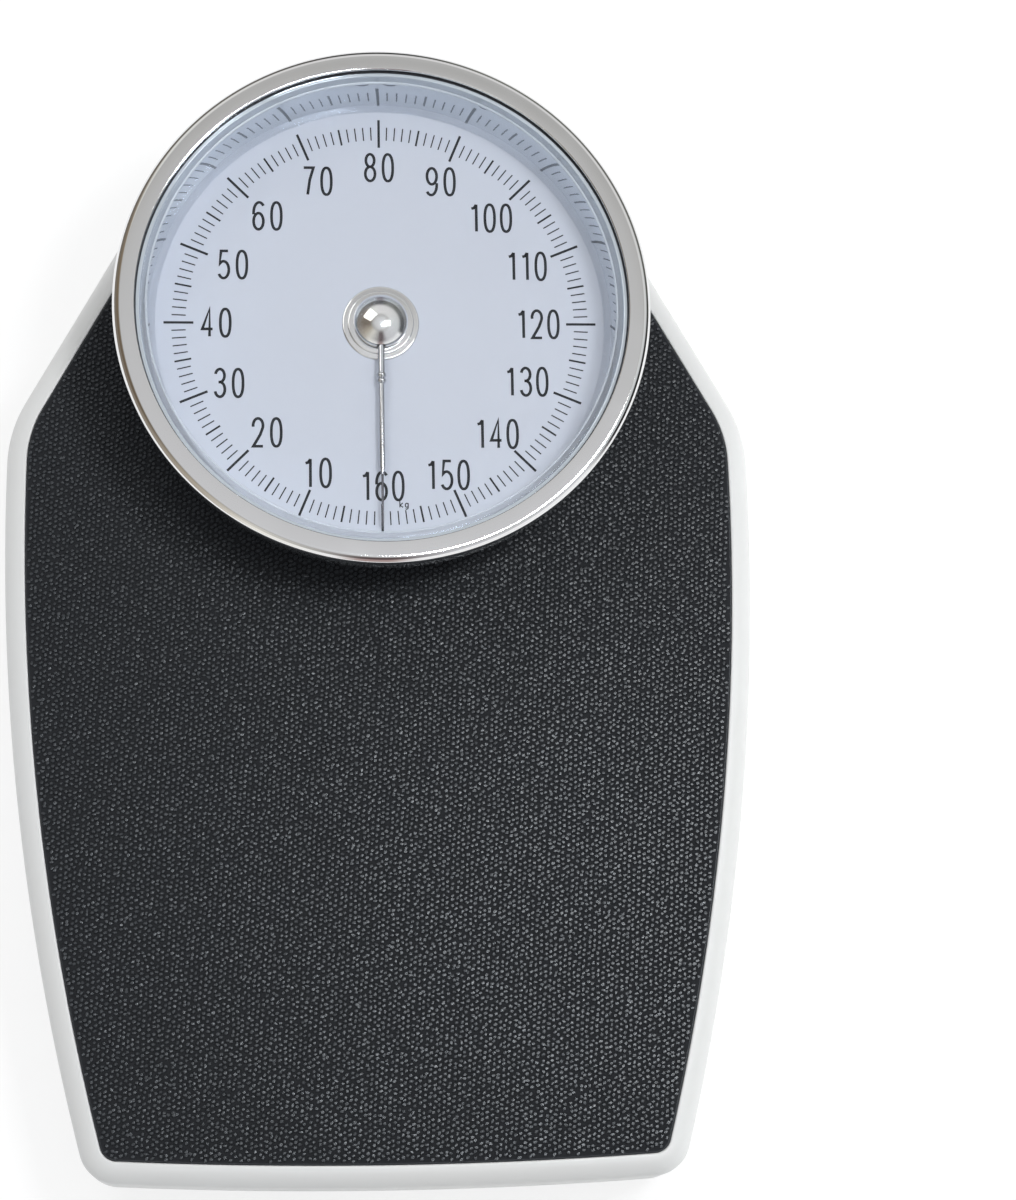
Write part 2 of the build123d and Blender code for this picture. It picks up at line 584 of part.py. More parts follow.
# Short levers: low bars from the rear corners, hung on the long levers by stirrup links
for side, place in ((-1, "left"), (1, "right")):
    with BuildPart() as short_lever:
        with BuildSketch(Plane.XY.offset(SHORT_BAR_BOTTOM)):
            flat_bar(
                [
                    (side * REAR_FULCRUM_X, REAR_FULCRUM_Y + BAR_END),
                    (side * REAR_FULCRUM_X, REAR_FULCRUM_Y - LOAD_ARM - BAR_STRAIGHT),
                    (side * LINK_X, LINK_Y + BAR_END),
                    (side * LINK_X, LINK_Y - BAR_END / 2),
                ],
                BAR_THICKNESS,
            )
        extrude(amount=SHORT_BAR_HEIGHT)
        with BuildSketch(Plane.YZ.offset(side * REAR_FULCRUM_X)):
            with Locations(*[(pin_y, SHORT_PIN_Z) for pin_y in SHORT_PIN_YS]):
                Circle(PIN_RADIUS + 2.2)
        extrude(amount=BAR_THICKNESS / 2, both=True)
        with BuildSketch(Plane.YZ.offset(side * REAR_FULCRUM_X)):
            with Locations(*[(pin_y, SHORT_PIN_Z) for pin_y in SHORT_PIN_YS]):
                Circle(PIN_RADIUS + FIXED_FIT)
        extrude(amount=BAR_THICKNESS, both=True, mode=Mode.SUBTRACT)
    save(short_lever.part, f"short_lever_{place}")

    with BuildPart() as lever_link:
        link_bottom = SHORT_BAR_BOTTOM - NOSE_CONTACT_GAP
        link_top = LONG_BAR_BOTTOM + LONG_BAR_HEIGHT + NOSE_CONTACT_GAP
        eye_width = BAR_THICKNESS + 2.0
        with BuildSketch(upright_plane(LINK_Y)):
            with Locations((side * LINK_X, (link_bottom + link_top) / 2)):
                RectangleRounded(
                    eye_width + 2 * LINK_WALL, link_top - link_bottom + 2 * LINK_BAR, LINK_BAR
                )
                Rectangle(eye_width, link_top - link_bottom, mode=Mode.SUBTRACT)
        extrude(amount=LINK_THICKNESS / 2, both=True)
    save(lever_link.part, f"lever_link_{place}")


def cross_pins(spots, pin_z):
    """Pivot pins along X with chamfered ends."""
    with BuildPart() as pins:
        for x, y in spots:
            with BuildSketch(Plane.YZ.offset(x)):
                with Locations((y, pin_z)):
                    Circle(PIN_RADIUS)
            extrude(amount=PIN_LENGTH / 2, both=True)
        chamfer(pins.edges().filter_by(GeomType.CIRCLE), 0.4)
    return pins.part


long_pin_spots = [(side * FRONT_FULCRUM_X, y) for side in (-1, 1) for y in LONG_PIN_YS]
save(cross_pins(long_pin_spots, LONG_PIN_Z), "long_lever_pins")
for side, place in ((-1, "left"), (1, "right")):
    short_pin_spots = [(side * REAR_FULCRUM_X, y) for y in SHORT_PIN_YS]
    save(cross_pins(short_pin_spots, SHORT_PIN_Z), f"short_lever_pins_{place}")


# Weighing spring between an anchor on the nose and a stud that the zero wheel raises and lowers
PLUG_RADIUS = COIL_RADIUS - COIL_WIRE_RADIUS - RUNNING_FIT
STUD_PLUG_TOP = BRIDGE_PLATE_BOTTOM - ZERO_TRAVEL - 0.5
COIL_BOTTOM = NOSE_TOP + 0.1
COIL_TOP = STUD_PLUG_TOP


def coil_spring(x, y, bottom, top, coil_radius, wire_radius, turns):
    """Upright coil between two levels, with its wire kept inside them."""
    height = top - bottom - 2 * wire_radius
    with BuildPart() as spring:
        with BuildLine(Plane(origin=(x, y, bottom + wire_radius))) as coil:
            Helix(pitch=height / turns, height=height, radius=coil_radius)
        with BuildSketch(Plane(origin=coil.line @ 0, z_dir=coil.line % 0)):
            Circle(wire_radius)
        sweep(is_frenet=True)
    return spring.part


main_coil = coil_spring(0, SPRING_Y, COIL_BOTTOM, COIL_TOP, COIL_RADIUS, COIL_WIRE_RADIUS, COIL_TURNS)
save(main_coil, "main_spring")

with BuildPart() as spring_anchor:
    with BuildSketch(Plane.XY.offset(NOSE_TOP)):
        with Locations((0, SPRING_Y)):
            Circle(PLUG_RADIUS)
    extrude(amount=PLUG_HEIGHT)
    chamfer(spring_anchor.edges().sort_by(Axis.Z)[-1], 1.0)
    with BuildSketch(Plane.XY.offset(NOSE_TOP)):
        with Locations((0, SPRING_Y)):
            Circle(STUD_RADIUS)
    extrude(amount=-NOSE_SHEET)
    with BuildSketch(Plane.XY.offset(LONG_BAR_BOTTOM)):
        with Locations((0, SPRING_Y)):
            Circle(STUD_RADIUS + 2.0)
    extrude(amount=-1.4, taper=20)
save(spring_anchor.part, "spring_anchor")

with BuildPart() as spring_stud:
    with BuildSketch(Plane.XY.offset(STUD_PLUG_TOP - PLUG_HEIGHT)):
        with Locations((0, SPRING_Y)):
            Circle(PLUG_RADIUS)
    extrude(amount=PLUG_HEIGHT)
    chamfer(spring_stud.edges().sort_by(Axis.Z)[0], 1.0)
    with BuildSketch(Plane.XY.offset(STUD_PLUG_TOP)):
        with Locations((0, SPRING_Y)):
            Circle(STUD_RADIUS)
    extrude(amount=STUD_TOP - STUD_PLUG_TOP)
    chamfer(spring_stud.edges().sort_by(Axis.Z)[-1], 0.5)
save(spring_stud.part, "spring_stud")

with BuildPart() as spring_bridge:
    bridge_top = BRIDGE_PLATE_BOTTOM + BRIDGE_SHEET
    with BuildSketch(upright_plane(SPRING_Y)):
        with Locations((0, (FLOOR_TOP + bridge_top) / 2)):
            Rectangle(2 * BRIDGE_OUTER_X, bridge_top - FLOOR_TOP)
        with Locations((0, (FLOOR_TOP + BRIDGE_PLATE_BOTTOM) / 2)):
            Rectangle(2 * BRIDGE_INNER_X, BRIDGE_PLATE_BOTTOM - FLOOR_TOP, mode=Mode.SUBTRACT)
        with Locations((-BRIDGE_RIVET_X, FLOOR_TOP + BRIDGE_SHEET / 2)):
            Rectangle(BRIDGE_FOOT, BRIDGE_SHEET)
        with Locations((BRIDGE_RIVET_X, FLOOR_TOP + BRIDGE_SHEET / 2)):
            Rectangle(BRIDGE_FOOT, BRIDGE_SHEET)
    extrude(amount=BRIDGE_DEPTH / 2, both=True)
    bridge_corners = spring_bridge.edges().filter_by(Axis.Y).group_by(Axis.Z)[-1]
    fillet(bridge_corners, 1.8)
    with BuildSketch(Plane.XY.offset(FLOOR_TOP)):
        with Locations((-BRIDGE_RIVET_X, SPRING_Y), (BRIDGE_RIVET_X, SPRING_Y)):
            Circle(RIVET_RADIUS + FIXED_FIT)
    extrude(amount=BRIDGE_SHEET, mode=Mode.SUBTRACT)
    with BuildSketch(Plane.XY.offset(BRIDGE_PLATE_BOTTOM)):
        with Locations((0, SPRING_Y)):
            Circle(STUD_RADIUS + RUNNING_FIT)
    extrude(amount=BRIDGE_SHEET, mode=Mode.SUBTRACT)
save(spring_bridge.part, "spring_bridge")

with BuildPart() as zero_wheel:
    with BuildSketch(Plane.XY.offset(WHEEL_BOTTOM)):
        with Locations((0, SPRING_Y)):
            Circle(WHEEL_RADIUS)
            Circle(STUD_RADIUS + 0.05, mode=Mode.SUBTRACT)
            with PolarLocations(WHEEL_RADIUS, WHEEL_KNURLS):
                RegularPolygon(0.9, 4, mode=Mode.SUBTRACT)
    extrude(amount=WHEEL_THICKNESS)
    with BuildSketch(Plane.XY.offset(WHEEL_BOTTOM + 2.0)):
        with Locations((0, SPRING_Y)):
            Circle(WHEEL_RADIUS - 5.0)
            Circle(9.0, mode=Mode.SUBTRACT)
    extrude(amount=WHEEL_THICKNESS - 2.0, mode=Mode.SUBTRACT)
save(zero_wheel.part, "zero_wheel")


# Mechanism frame: an arch over the lever nose with two ears for the crank
FRAME_TOP = FRAME_PLATE_BOTTOM + FRAME_SHEET
EAR_CENTRES = (CRANK_X - (CRANK_EAR_GAP + FRAME_SHEET) / 2, CRANK_X + (CRANK_EAR_GAP + FRAME_SHEET) / 2)

with BuildPart() as mechanism_frame:
    frame_depth = FRAME_REAR_Y - FRAME_FRONT_Y
    leg_depth = FRAME_REAR_Y - FRAME_LEG_FRONT_Y
    with BuildSketch(Plane.XY.offset(FRAME_PLATE_BOTTOM)):
        with Locations((0, (FRAME_FRONT_Y + FRAME_REAR_Y) / 2)):
            RectangleRounded(2 * FRAME_HALF_WIDTH, frame_depth, 1.0)
        with Locations((0, DIAL_Y)):
            Circle(BUSH_RADIUS + FIXED_FIT, mode=Mode.SUBTRACT)
        with Locations((CRANK_X, CRANK_Y)):
            Rectangle(CRANK_THICKNESS + 1.4, RACK_TRAVEL + 9.0, mode=Mode.SUBTRACT)
    extrude(amount=FRAME_SHEET)
    for side in (-1, 1):
        with BuildSketch(Plane.XY.offset(FLOOR_TOP)):
            with Locations((side * (FRAME_HALF_WIDTH - FRAME_SHEET / 2), FRAME_LEG_MIDDLE_Y)):
                Rectangle(FRAME_SHEET, leg_depth)
        extrude(amount=FRAME_PLATE_BOTTOM - FLOOR_TOP)
        with BuildSketch(Plane.XY.offset(FLOOR_TOP)):
            with Locations((side * FRAME_SCREW_X, FRAME_LEG_MIDDLE_Y)):
                Rectangle(FRAME_FOOT, leg_depth)
                Circle(SCREW_RADIUS + FIXED_FIT, mode=Mode.SUBTRACT)
        extrude(amount=FRAME_SHEET)
        with BuildSketch(Plane.YZ.offset(side * FRAME_HALF_WIDTH)):
            with Locations((FRAME_LEG_MIDDLE_Y, (FLOOR_TOP + FRAME_PLATE_BOTTOM) / 2)):
                SlotOverall(LEG_SLOT_LENGTH, LEG_SLOT_WIDTH, rotation=90)
        extrude(amount=-side * FRAME_SHEET, mode=Mode.SUBTRACT)
    for ear_x in EAR_CENTRES:
        with BuildSketch(Plane.YZ.offset(ear_x)):
            with Locations((CRANK_Y, (CRANK_Z + FRAME_PLATE_BOTTOM) / 2)):
                Rectangle(2 * CRANK_HUB_RADIUS, FRAME_PLATE_BOTTOM - CRANK_Z)
            with Locations((CRANK_Y, CRANK_Z)):
                Circle(CRANK_HUB_RADIUS)
                Circle(CRANK_PIN_RADIUS + FIXED_FIT, mode=Mode.SUBTRACT)
        extrude(amount=FRAME_SHEET / 2, both=True)
save(mechanism_frame.part, "mechanism_frame")

with BuildPart() as crank_pin:
    pin_end = CRANK_EAR_GAP / 2 + FRAME_SHEET
    with BuildSketch(Plane.YZ.offset(CRANK_X - pin_end)):
        with Locations((CRANK_Y, CRANK_Z)):
            Circle(CRANK_PIN_RADIUS)
    extrude(amount=2 * pin_end)
    for head_x, outward in ((CRANK_X - pin_end, -1), (CRANK_X + pin_end, 1)):
        with BuildSketch(Plane.YZ.offset(head_x)):
            with Locations((CRANK_Y, CRANK_Z)):
                Circle(CRANK_PIN_RADIUS + 0.9)
        extrude(amount=outward * 0.6)
save(crank_pin.part, "crank_pin")

with BuildPart() as bell_crank:
    output_angle = CRANK_HALF_SWING + 90
    output_length = (CRANK_HEIGHT + RACK_THICKNESS / 2 + 0.5) / cos(CRANK_SWING)
    with BuildSketch(Plane.YZ.offset(CRANK_X)):
        with Locations((CRANK_Y, CRANK_Z)):
            Circle(CRANK_HUB_RADIUS)
        flat_bar(
            [
                (CRANK_Y, CRANK_Z),
                (CRANK_Y + ELBOW_AHEAD * CRANK_ARM, CRANK_Z + ELBOW_RISE * CRANK_ARM),
                (CRANK_Y + WRIST_AHEAD * CRANK_ARM, CRANK_Z + WRIST_RISE * CRANK_ARM),
                (CRANK_Y + CRANK_ARM * cos(CRANK_SWING), CRANK_Z + CRANK_ARM * sin(CRANK_SWING)),
            ],
            CRANK_INPUT_WIDTH,
        )
        flat_bar(
            [
                (CRANK_Y, CRANK_Z),
                (
                    CRANK_Y + output_length * cos(radians(output_angle)),
                    CRANK_Z + output_length * sin(radians(output_angle)),
                ),
            ],
            CRANK_OUTPUT_WIDTH,
        )
    extrude(amount=CRANK_THICKNESS / 2, both=True)
    with BuildSketch(Plane.YZ.offset(CRANK_X)):
        with Locations((CRANK_Y, CRANK_Z)):
            Circle(CRANK_HUB_RADIUS - 0.6)
    extrude(amount=CRANK_HUB_LENGTH / 2, both=True)
    with BuildSketch(Plane.YZ.offset(CRANK_X)):
        with Locations((CRANK_Y, CRANK_Z)):
            Circle(CRANK_PIN_RADIUS + RUNNING_FIT)
    extrude(amount=CRANK_HUB_LENGTH, both=True, mode=Mode.SUBTRACT)
save(bell_crank.part, "bell_crank")


return_coil = coil_spring(
    CRANK_X,
    NOSE_FRONT_Y - RETURN_COIL_RADIUS - RETURN_WIRE_RADIUS - RETURN_GAP,
    FLOOR_TOP,
    CRANK_Z + ELBOW_RISE * CRANK_ARM - CRANK_INPUT_WIDTH / 2 - RETURN_GAP / 2,
    RETURN_COIL_RADIUS,
    RETURN_WIRE_RADIUS,
    RETURN_TURNS,
)
save(return_coil, "return_spring")

hold_down_coils = []
for hold_x, hold_y in (
    (FRONT_FULCRUM_X + HOLD_OUTBOARD, FRONT_FULCRUM_Y + HOLD_FROM_PIVOT),
    (REAR_FULCRUM_X - HOLD_INBOARD, REAR_FULCRUM_Y - HOLD_FROM_PIVOT),
):
    for side in (-1, 1):
        hold_down_coils.append(
            coil_spring(
                side * hold_x,
                hold_y,
                FLOOR_TOP,
                PLATFORM_UNDERSIDE,
                HOLD_COIL_RADIUS,
                HOLD_WIRE_RADIUS,
                HOLD_TURNS,
            )
        )
save(Compound(children=hold_down_coils), "hold_down_springs")


# Rack and pinion
TOOTH_PITCH = pi * GEAR_MODULE
SLOT_Y = DIAL_Y + RACK_SLOT_AHEAD
RACK_REAR_Y = SLOT_Y + RACK_END_MARGIN
RACK_TEETH = round(RACK_TRAVEL / TOOTH_PITCH) + 4
RACK_FRONT_Y = DIAL_Y - (RACK_TEETH - 1) * TOOTH_PITCH - 1.0
RACK_ROOT_X = -PITCH_RADIUS - RACK_DEDENDUM

with BuildPart() as toothed_rack:
    flank = tan(radians(PRESSURE_ANGLE))
    half_tooth = (TOOTH_PITCH - BACKLASH) / 4
    with BuildSketch(Plane.XY.offset(RACK_Z - RACK_THICKNESS / 2)):
        with Locations(((RACK_BACK_X + RACK_ROOT_X) / 2, (RACK_FRONT_Y + RACK_REAR_Y) / 2)):
            Rectangle(RACK_ROOT_X - RACK_BACK_X, RACK_REAR_Y - RACK_FRONT_Y)
        for index in range(RACK_TEETH):
            tooth_y = DIAL_Y + (1.5 - index) * TOOTH_PITCH
            root_half = half_tooth + RACK_DEDENDUM * flank
            tip_half = half_tooth - RACK_ADDENDUM * flank
            with BuildLine():
                Polyline(
                    (RACK_ROOT_X, tooth_y - root_half),
                    (-PITCH_RADIUS + RACK_ADDENDUM, tooth_y - tip_half),
                    (-PITCH_RADIUS + RACK_ADDENDUM, tooth_y + tip_half),
                    (RACK_ROOT_X, tooth_y + root_half),
                    close=True,
                )
            make_face()
        with Locations((CRANK_X, SLOT_Y)):
            Rectangle(RACK_SLOT_WIDTH, RACK_SLOT_LENGTH, mode=Mode.SUBTRACT)
    extrude(amount=RACK_THICKNESS)
save(toothed_rack.part, "toothed_rack")


def involute_point(base_radius, radius, start_angle, hand):
    """Point at radius on an involute that leaves its base circle at start_angle."""
    roll = sqrt(max(radius**2 / base_radius**2 - 1, 0))
    angle = start_angle + hand * (roll - atan2(roll, 1))
    return radius * cos(angle), radius * sin(angle)


with BuildPart() as drive_pinion:
    base_radius = PITCH_RADIUS * cos(radians(PRESSURE_ANGLE))
    root_radius = PITCH_RADIUS - PINION_DEDENDUM
    tip_radius = PITCH_RADIUS + PINION_ADDENDUM
    pitch_roll = tan(radians(PRESSURE_ANGLE)) - radians(PRESSURE_ANGLE)
    half_angle = (TOOTH_PITCH - BACKLASH) / (4 * PITCH_RADIUS)
    flank_radii = [base_radius, PITCH_RADIUS, tip_radius]
    left = [involute_point(base_radius, r, pi - half_angle - pitch_roll, 1) for r in flank_radii]
    right = [(x, -y) for x, y in left]
    with BuildSketch(Plane.XY.offset(RACK_Z - PINION_WIDTH / 2)):
        with Locations((0, DIAL_Y)):
            Circle(root_radius)
            with BuildSketch(mode=Mode.PRIVATE) as tooth:
                with BuildLine():
                    Spline(*left)
                    ThreePointArc(left[-1], (-tip_radius, 0), right[-1])
                    Spline(*reversed(right))
                    Polyline(
                        right[0],
                        (-root_radius * cos(half_angle + pitch_roll) + 0.4, right[0][1]),
                        (-root_radius * cos(half_angle + pitch_roll) + 0.4, left[0][1]),
                        left[0],
                    )
                make_face()
            with PolarLocations(0, PINION_TEETH):
                add(tooth.sketch)
            Circle(SHAFT_RADIUS + FIXED_FIT, mode=Mode.SUBTRACT)
    extrude(amount=PINION_WIDTH)
save(drive_pinion.part, "drive_pinion")

with BuildPart() as rack_guide:
    guide_y = DIAL_Y - 4.0
    wall_x = RACK_BACK_X - GUIDE_GAP
    shelf_z = RACK_Z - RACK_THICKNESS / 2 - GUIDE_GAP
    with BuildSketch(upright_plane(guide_y)):
        with BuildLine():
            Polyline(
                (wall_x, FRAME_PLATE_BOTTOM - FRAME_SHEET),
                (wall_x, shelf_z),
                (RACK_ROOT_X - 0.6, shelf_z),
                (RACK_ROOT_X - 0.6, shelf_z - FRAME_SHEET),
                (wall_x - FRAME_SHEET, shelf_z - FRAME_SHEET),
                (wall_x - FRAME_SHEET, FRAME_PLATE_BOTTOM),
                (wall_x + 4.0, FRAME_PLATE_BOTTOM),
                (wall_x + 4.0, FRAME_PLATE_BOTTOM - FRAME_SHEET),
                close=True,
            )
        make_face()
    extrude(amount=GUIDE_LENGTH / 2, both=True)
save(rack_guide.part, "rack_guide")

CUP_BOTTOM = RACK_Z - PINION_WIDTH / 2 - CUP_HEIGHT - 0.2

with BuildPart() as bearing_strap:
    strap_bottom = CUP_BOTTOM - FRAME_SHEET
    with BuildSketch(upright_plane(DIAL_Y)):
        with Locations((0, (strap_bottom + FRAME_PLATE_BOTTOM) / 2)):
            Rectangle(2 * STRAP_HALF_WIDTH, FRAME_PLATE_BOTTOM - strap_bottom)
        with Locations((0, (CUP_BOTTOM + FRAME_PLATE_BOTTOM) / 2)):
            strap_inside = 2 * (STRAP_HALF_WIDTH - FRAME_SHEET)
            Rectangle(strap_inside, FRAME_PLATE_BOTTOM - CUP_BOTTOM, mode=Mode.SUBTRACT)
    extrude(amount=STRAP_DEPTH / 2, both=True)
save(bearing_strap.part, "bearing_strap")

with BuildPart() as thrust_cup:
    with BuildSketch(DIAL_PROFILE_PLANE):
        with BuildLine():
            Polyline(
                (0, CUP_BOTTOM),
                (CUP_RADIUS, CUP_BOTTOM),
                (CUP_RADIUS, CUP_BOTTOM + CUP_FLOOR),
                (CUP_RADIUS - 1.2, CUP_BOTTOM + CUP_HEIGHT),
                (SHAFT_RADIUS + 0.05, CUP_BOTTOM + CUP_HEIGHT),
                (SHAFT_RADIUS + 0.05, CUP_BOTTOM + CUP_FLOOR),
                (0, CUP_BOTTOM + CUP_FLOOR),
                close=True,
            )
        make_face()
    revolve(axis=DIAL_AXIS)
save(thrust_cup.part, "thrust_cup")

with BuildPart() as shaft_bush:
    with BuildSketch(DIAL_PROFILE_PLANE):
        with BuildLine():
            Polyline(
                (SHAFT_RADIUS + 0.05, FRAME_PLATE_BOTTOM - 0.6),
                (BUSH_RADIUS, FRAME_PLATE_BOTTOM - 0.6),
                (BUSH_RADIUS, FRAME_TOP),
                (BUSH_FLANGE_RADIUS, FRAME_TOP),
                (BUSH_FLANGE_RADIUS, FRAME_TOP + BUSH_FLANGE),
                (SHAFT_RADIUS + 0.05, FRAME_TOP + BUSH_FLANGE),
                close=True,
            )
        make_face()
    revolve(axis=DIAL_AXIS)
save(shaft_bush.part, "shaft_bush")

with BuildPart() as pointer_shaft:
    with BuildSketch(Plane.XY.offset(CUP_BOTTOM + CUP_FLOOR + 0.05)):
        with Locations((0, DIAL_Y)):
            Circle(SHAFT_RADIUS)
    extrude(amount=SHAFT_TOP - CUP_BOTTOM - CUP_FLOOR - 0.05)
    chamfer(pointer_shaft.edges().sort_by(Axis.Z)[-1], 0.4)
save(pointer_shaft.part, "pointer_shaft")


# Platform: pressed pan with a rolled edge, a shallow mat recess and a flanged hole for the column
with BuildPart() as platform_space:
    with BuildSketch(Plane.XY.offset(PLATFORM_SKIRT_BOTTOM)):
        add(body_outline(PLATFORM_SHEET))
    extrude(amount=PLATFORM_TOP - PLATFORM_SHEET - PLATFORM_SKIRT_BOTTOM)
    fillet(platform_space.faces().sort_by(Axis.Z)[-1].edges(), EDGE_ROLL_RADIUS - PLATFORM_SHEET)

with BuildPart() as platform_cover:
    with BuildSketch(Plane.XY.offset(PLATFORM_SKIRT_BOTTOM)):
        add(body_outline(0))
    extrude(amount=PLATFORM_TOP - PLATFORM_SKIRT_BOTTOM)
    fillet(platform_cover.faces().sort_by(Axis.Z)[-1].edges(), EDGE_ROLL_RADIUS)
    add(platform_space.part, mode=Mode.SUBTRACT)
    with BuildSketch(Plane.XY.offset(PLATFORM_UNDERSIDE)):
        add(body_outline(LIP_WIDTH - PLATFORM_SHEET))
    extrude(amount=RECESS_DEPTH)
    with BuildSketch(Plane.XY.offset(MAT_BOTTOM)):
        add(body_outline(LIP_WIDTH))
    extrude(amount=RECESS_DEPTH, mode=Mode.SUBTRACT)
    with BuildSketch(Plane.XY.offset(MAT_BOTTOM - HOLE_FLANGE)):
        with Locations((0, DIAL_Y)):
            Circle(PLATFORM_HOLE + PLATFORM_SHEET)
    extrude(amount=HOLE_FLANGE)
    with BuildSketch(Plane.XY.offset(PLATFORM_SKIRT_BOTTOM)):
        with Locations((0, DIAL_Y)):
            Circle(PLATFORM_HOLE)
    extrude(amount=PLATFORM_TOP - PLATFORM_SKIRT_BOTTOM, mode=Mode.SUBTRACT)
save(platform_cover.part, "platform_cover")

with BuildPart() as tread_mat:
    with BuildSketch(Plane.XY.offset(MAT_BOTTOM)):
        add(body_outline(LIP_WIDTH + MAT_GAP))
        with Locations((0, DIAL_Y)):
            Circle(MAT_HOLE, mode=Mode.SUBTRACT)
    extrude(amount=MAT_THICKNESS)
    chamfer(tread_mat.faces().sort_by(Axis.Z)[-1].edges(), MAT_EDGE_RADIUS)
save(tread_mat.part, "tread_mat")


# Dial head: column, housing pan, dial, glossy wall, window on its clear wall, and bezel
with BuildPart() as dial_column:
    with BuildSketch(Plane.XY.offset(FLOOR_TOP)):
        with Locations((0, DIAL_Y)):
            Circle(COLUMN_RADIUS)
            Circle(COLUMN_INNER, mode=Mode.SUBTRACT)
    extrude(amount=HOUSING_BOTTOM - FLOOR_TOP)
    with BuildSketch(upright_plane(DIAL_Y)):
        with Locations((0, (FLOOR_TOP + COLUMN_WINDOW_TOP) / 2)):
            Rectangle(COLUMN_WINDOW_WIDTH, COLUMN_WINDOW_TOP - FLOOR_TOP)
    extrude(amount=COLUMN_RADIUS + COLUMN_FLANGE, both=True, mode=Mode.SUBTRACT)
    with BuildSketch(Plane.YZ):
        with Locations((DIAL_Y, (FLOOR_TOP + SIDE_WINDOW_SILL + COLUMN_WINDOW_TOP) / 2)):
            RectangleRounded(
                SIDE_WINDOW_WIDTH, COLUMN_WINDOW_TOP - FLOOR_TOP - SIDE_WINDOW_SILL, SIDE_WINDOW_ROUND
            )
    extrude(amount=COLUMN_RADIUS + COLUMN_FLANGE, both=True, mode=Mode.SUBTRACT)
    with BuildSketch(Plane.XY.offset(FLOOR_TOP)):
        with Locations((0, DIAL_Y)):
            Circle(COLUMN_RADIUS + COLUMN_FLANGE)
            Circle(COLUMN_INNER, mode=Mode.SUBTRACT)
        with Locations(*COLUMN_SCREW_SPOTS):
            Circle(SCREW_RADIUS + FIXED_FIT, mode=Mode.SUBTRACT)
    extrude(amount=COLUMN_WALL)
    with BuildSketch(Plane.XY.offset(HOUSING_BOTTOM - COLUMN_WALL)):
        with Locations((0, DIAL_Y)):
            Circle(COLUMN_INNER)
            Circle(COLUMN_INNER - TOP_FLANGE, mode=Mode.SUBTRACT)
            with PolarLocations(HOUSING_SCREW_RADIUS, 4, start_angle=45):
                Circle(SCREW_RADIUS + FIXED_FIT, mode=Mode.SUBTRACT)
    extrude(amount=COLUMN_WALL)
    with BuildSketch(Plane.XY.offset(WHEEL_BOTTOM - 0.8)):
        with Locations((0, SPRING_Y)):
            Circle(WHEEL_RADIUS + WHEEL_SLOT_GAP)
    extrude(amount=WHEEL_THICKNESS + 1.6, mode=Mode.SUBTRACT)
save(dial_column.part, "dial_column")

with BuildPart() as dial_housing:
    with BuildSketch(DIAL_PROFILE_PLANE) as housing_profile:
        with BuildLine():
            Polyline(
                (0, HOUSING_BOTTOM),
                (HOUSING_FOOT_RADIUS, HOUSING_BOTTOM),
                (HOUSING_TOP_RADIUS, RIM_BOTTOM),
                (RIM_RADIUS, RIM_BOTTOM),
                (RIM_RADIUS, LENS_BOTTOM),
                (HOUSING_TOP_RADIUS - HOUSING_SHEET, LENS_BOTTOM),
                (HOUSING_FOOT_RADIUS - HOUSING_SHEET, HOUSING_FLOOR),
                (0, HOUSING_FLOOR),
                close=True,
            )
        make_face()
        fillet(housing_profile.vertices().group_by(Axis.Y)[0].sort_by(Axis.X)[-1], HOUSING_ROUND)
    revolve(axis=DIAL_AXIS)
    with BuildSketch(Plane.XY.offset(HOUSING_BOTTOM)):
        with Locations((0, DIAL_Y)):
            Circle(BUSH_RADIUS)
        with Locations(*HOUSING_SCREW_SPOTS):
            Circle(SCREW_RADIUS + FIXED_FIT)
    extrude(amount=HOUSING_SHEET, mode=Mode.SUBTRACT)
save(dial_housing.part, "dial_housing")

with BuildPart() as dial_plate:
    with BuildSketch(Plane.XY.offset(HOUSING_FLOOR)):
        with Locations((0, DIAL_Y)):
            Circle(DIAL_RADIUS)
            Circle(BUSH_RADIUS, mode=Mode.SUBTRACT)
    extrude(amount=DIAL_SHEET)
save(dial_plate.part, "dial_plate")

with BuildPart() as hub_collar:
    with BuildSketch(DIAL_PROFILE_PLANE):
        with BuildLine():
            Polyline(
                (COLLAR_BORE, DIAL_TOP),
                (COLLAR_RADIUS, DIAL_TOP),
                (COLLAR_RADIUS, DIAL_TOP + COLLAR_LOW - 0.4),
                (COLLAR_RADIUS - 0.4, DIAL_TOP + COLLAR_LOW),
                (COLLAR_STEP_RADIUS, DIAL_TOP + COLLAR_LOW),
                (COLLAR_STEP_RADIUS, COLLAR_TOP - 0.4),
                (COLLAR_STEP_RADIUS - 0.4, COLLAR_TOP),
                (COLLAR_BORE, COLLAR_TOP),
                close=True,
            )
        make_face()
    revolve(axis=DIAL_AXIS)
save(hub_collar.part, "hub_collar")

with BuildPart() as spacer_ring:
    with BuildSketch(DIAL_PROFILE_PLANE):
        with BuildLine():
            Polyline(
                (WALL_FOOT_RADIUS, DIAL_TOP),
                (WALL_FOOT_RADIUS + WALL_SHEET, DIAL_TOP),
                (WALL_TOP_RADIUS + WALL_SHEET, LENS_BOTTOM),
                (WALL_TOP_RADIUS, LENS_BOTTOM),
                close=True,
            )
        make_face()
    revolve(axis=DIAL_AXIS)
save(spacer_ring.part, "spacer_ring")

with BuildPart() as dial_lens:
    with BuildSketch(Plane.XY.offset(LENS_BOTTOM)):
        with Locations((0, DIAL_Y)):
            Circle(LENS_RADIUS)
    extrude(amount=LENS_THICKNESS)
    chamfer(dial_lens.edges().sort_by(Axis.Z)[-1], 0.4)
save(dial_lens.part, "dial_lens")

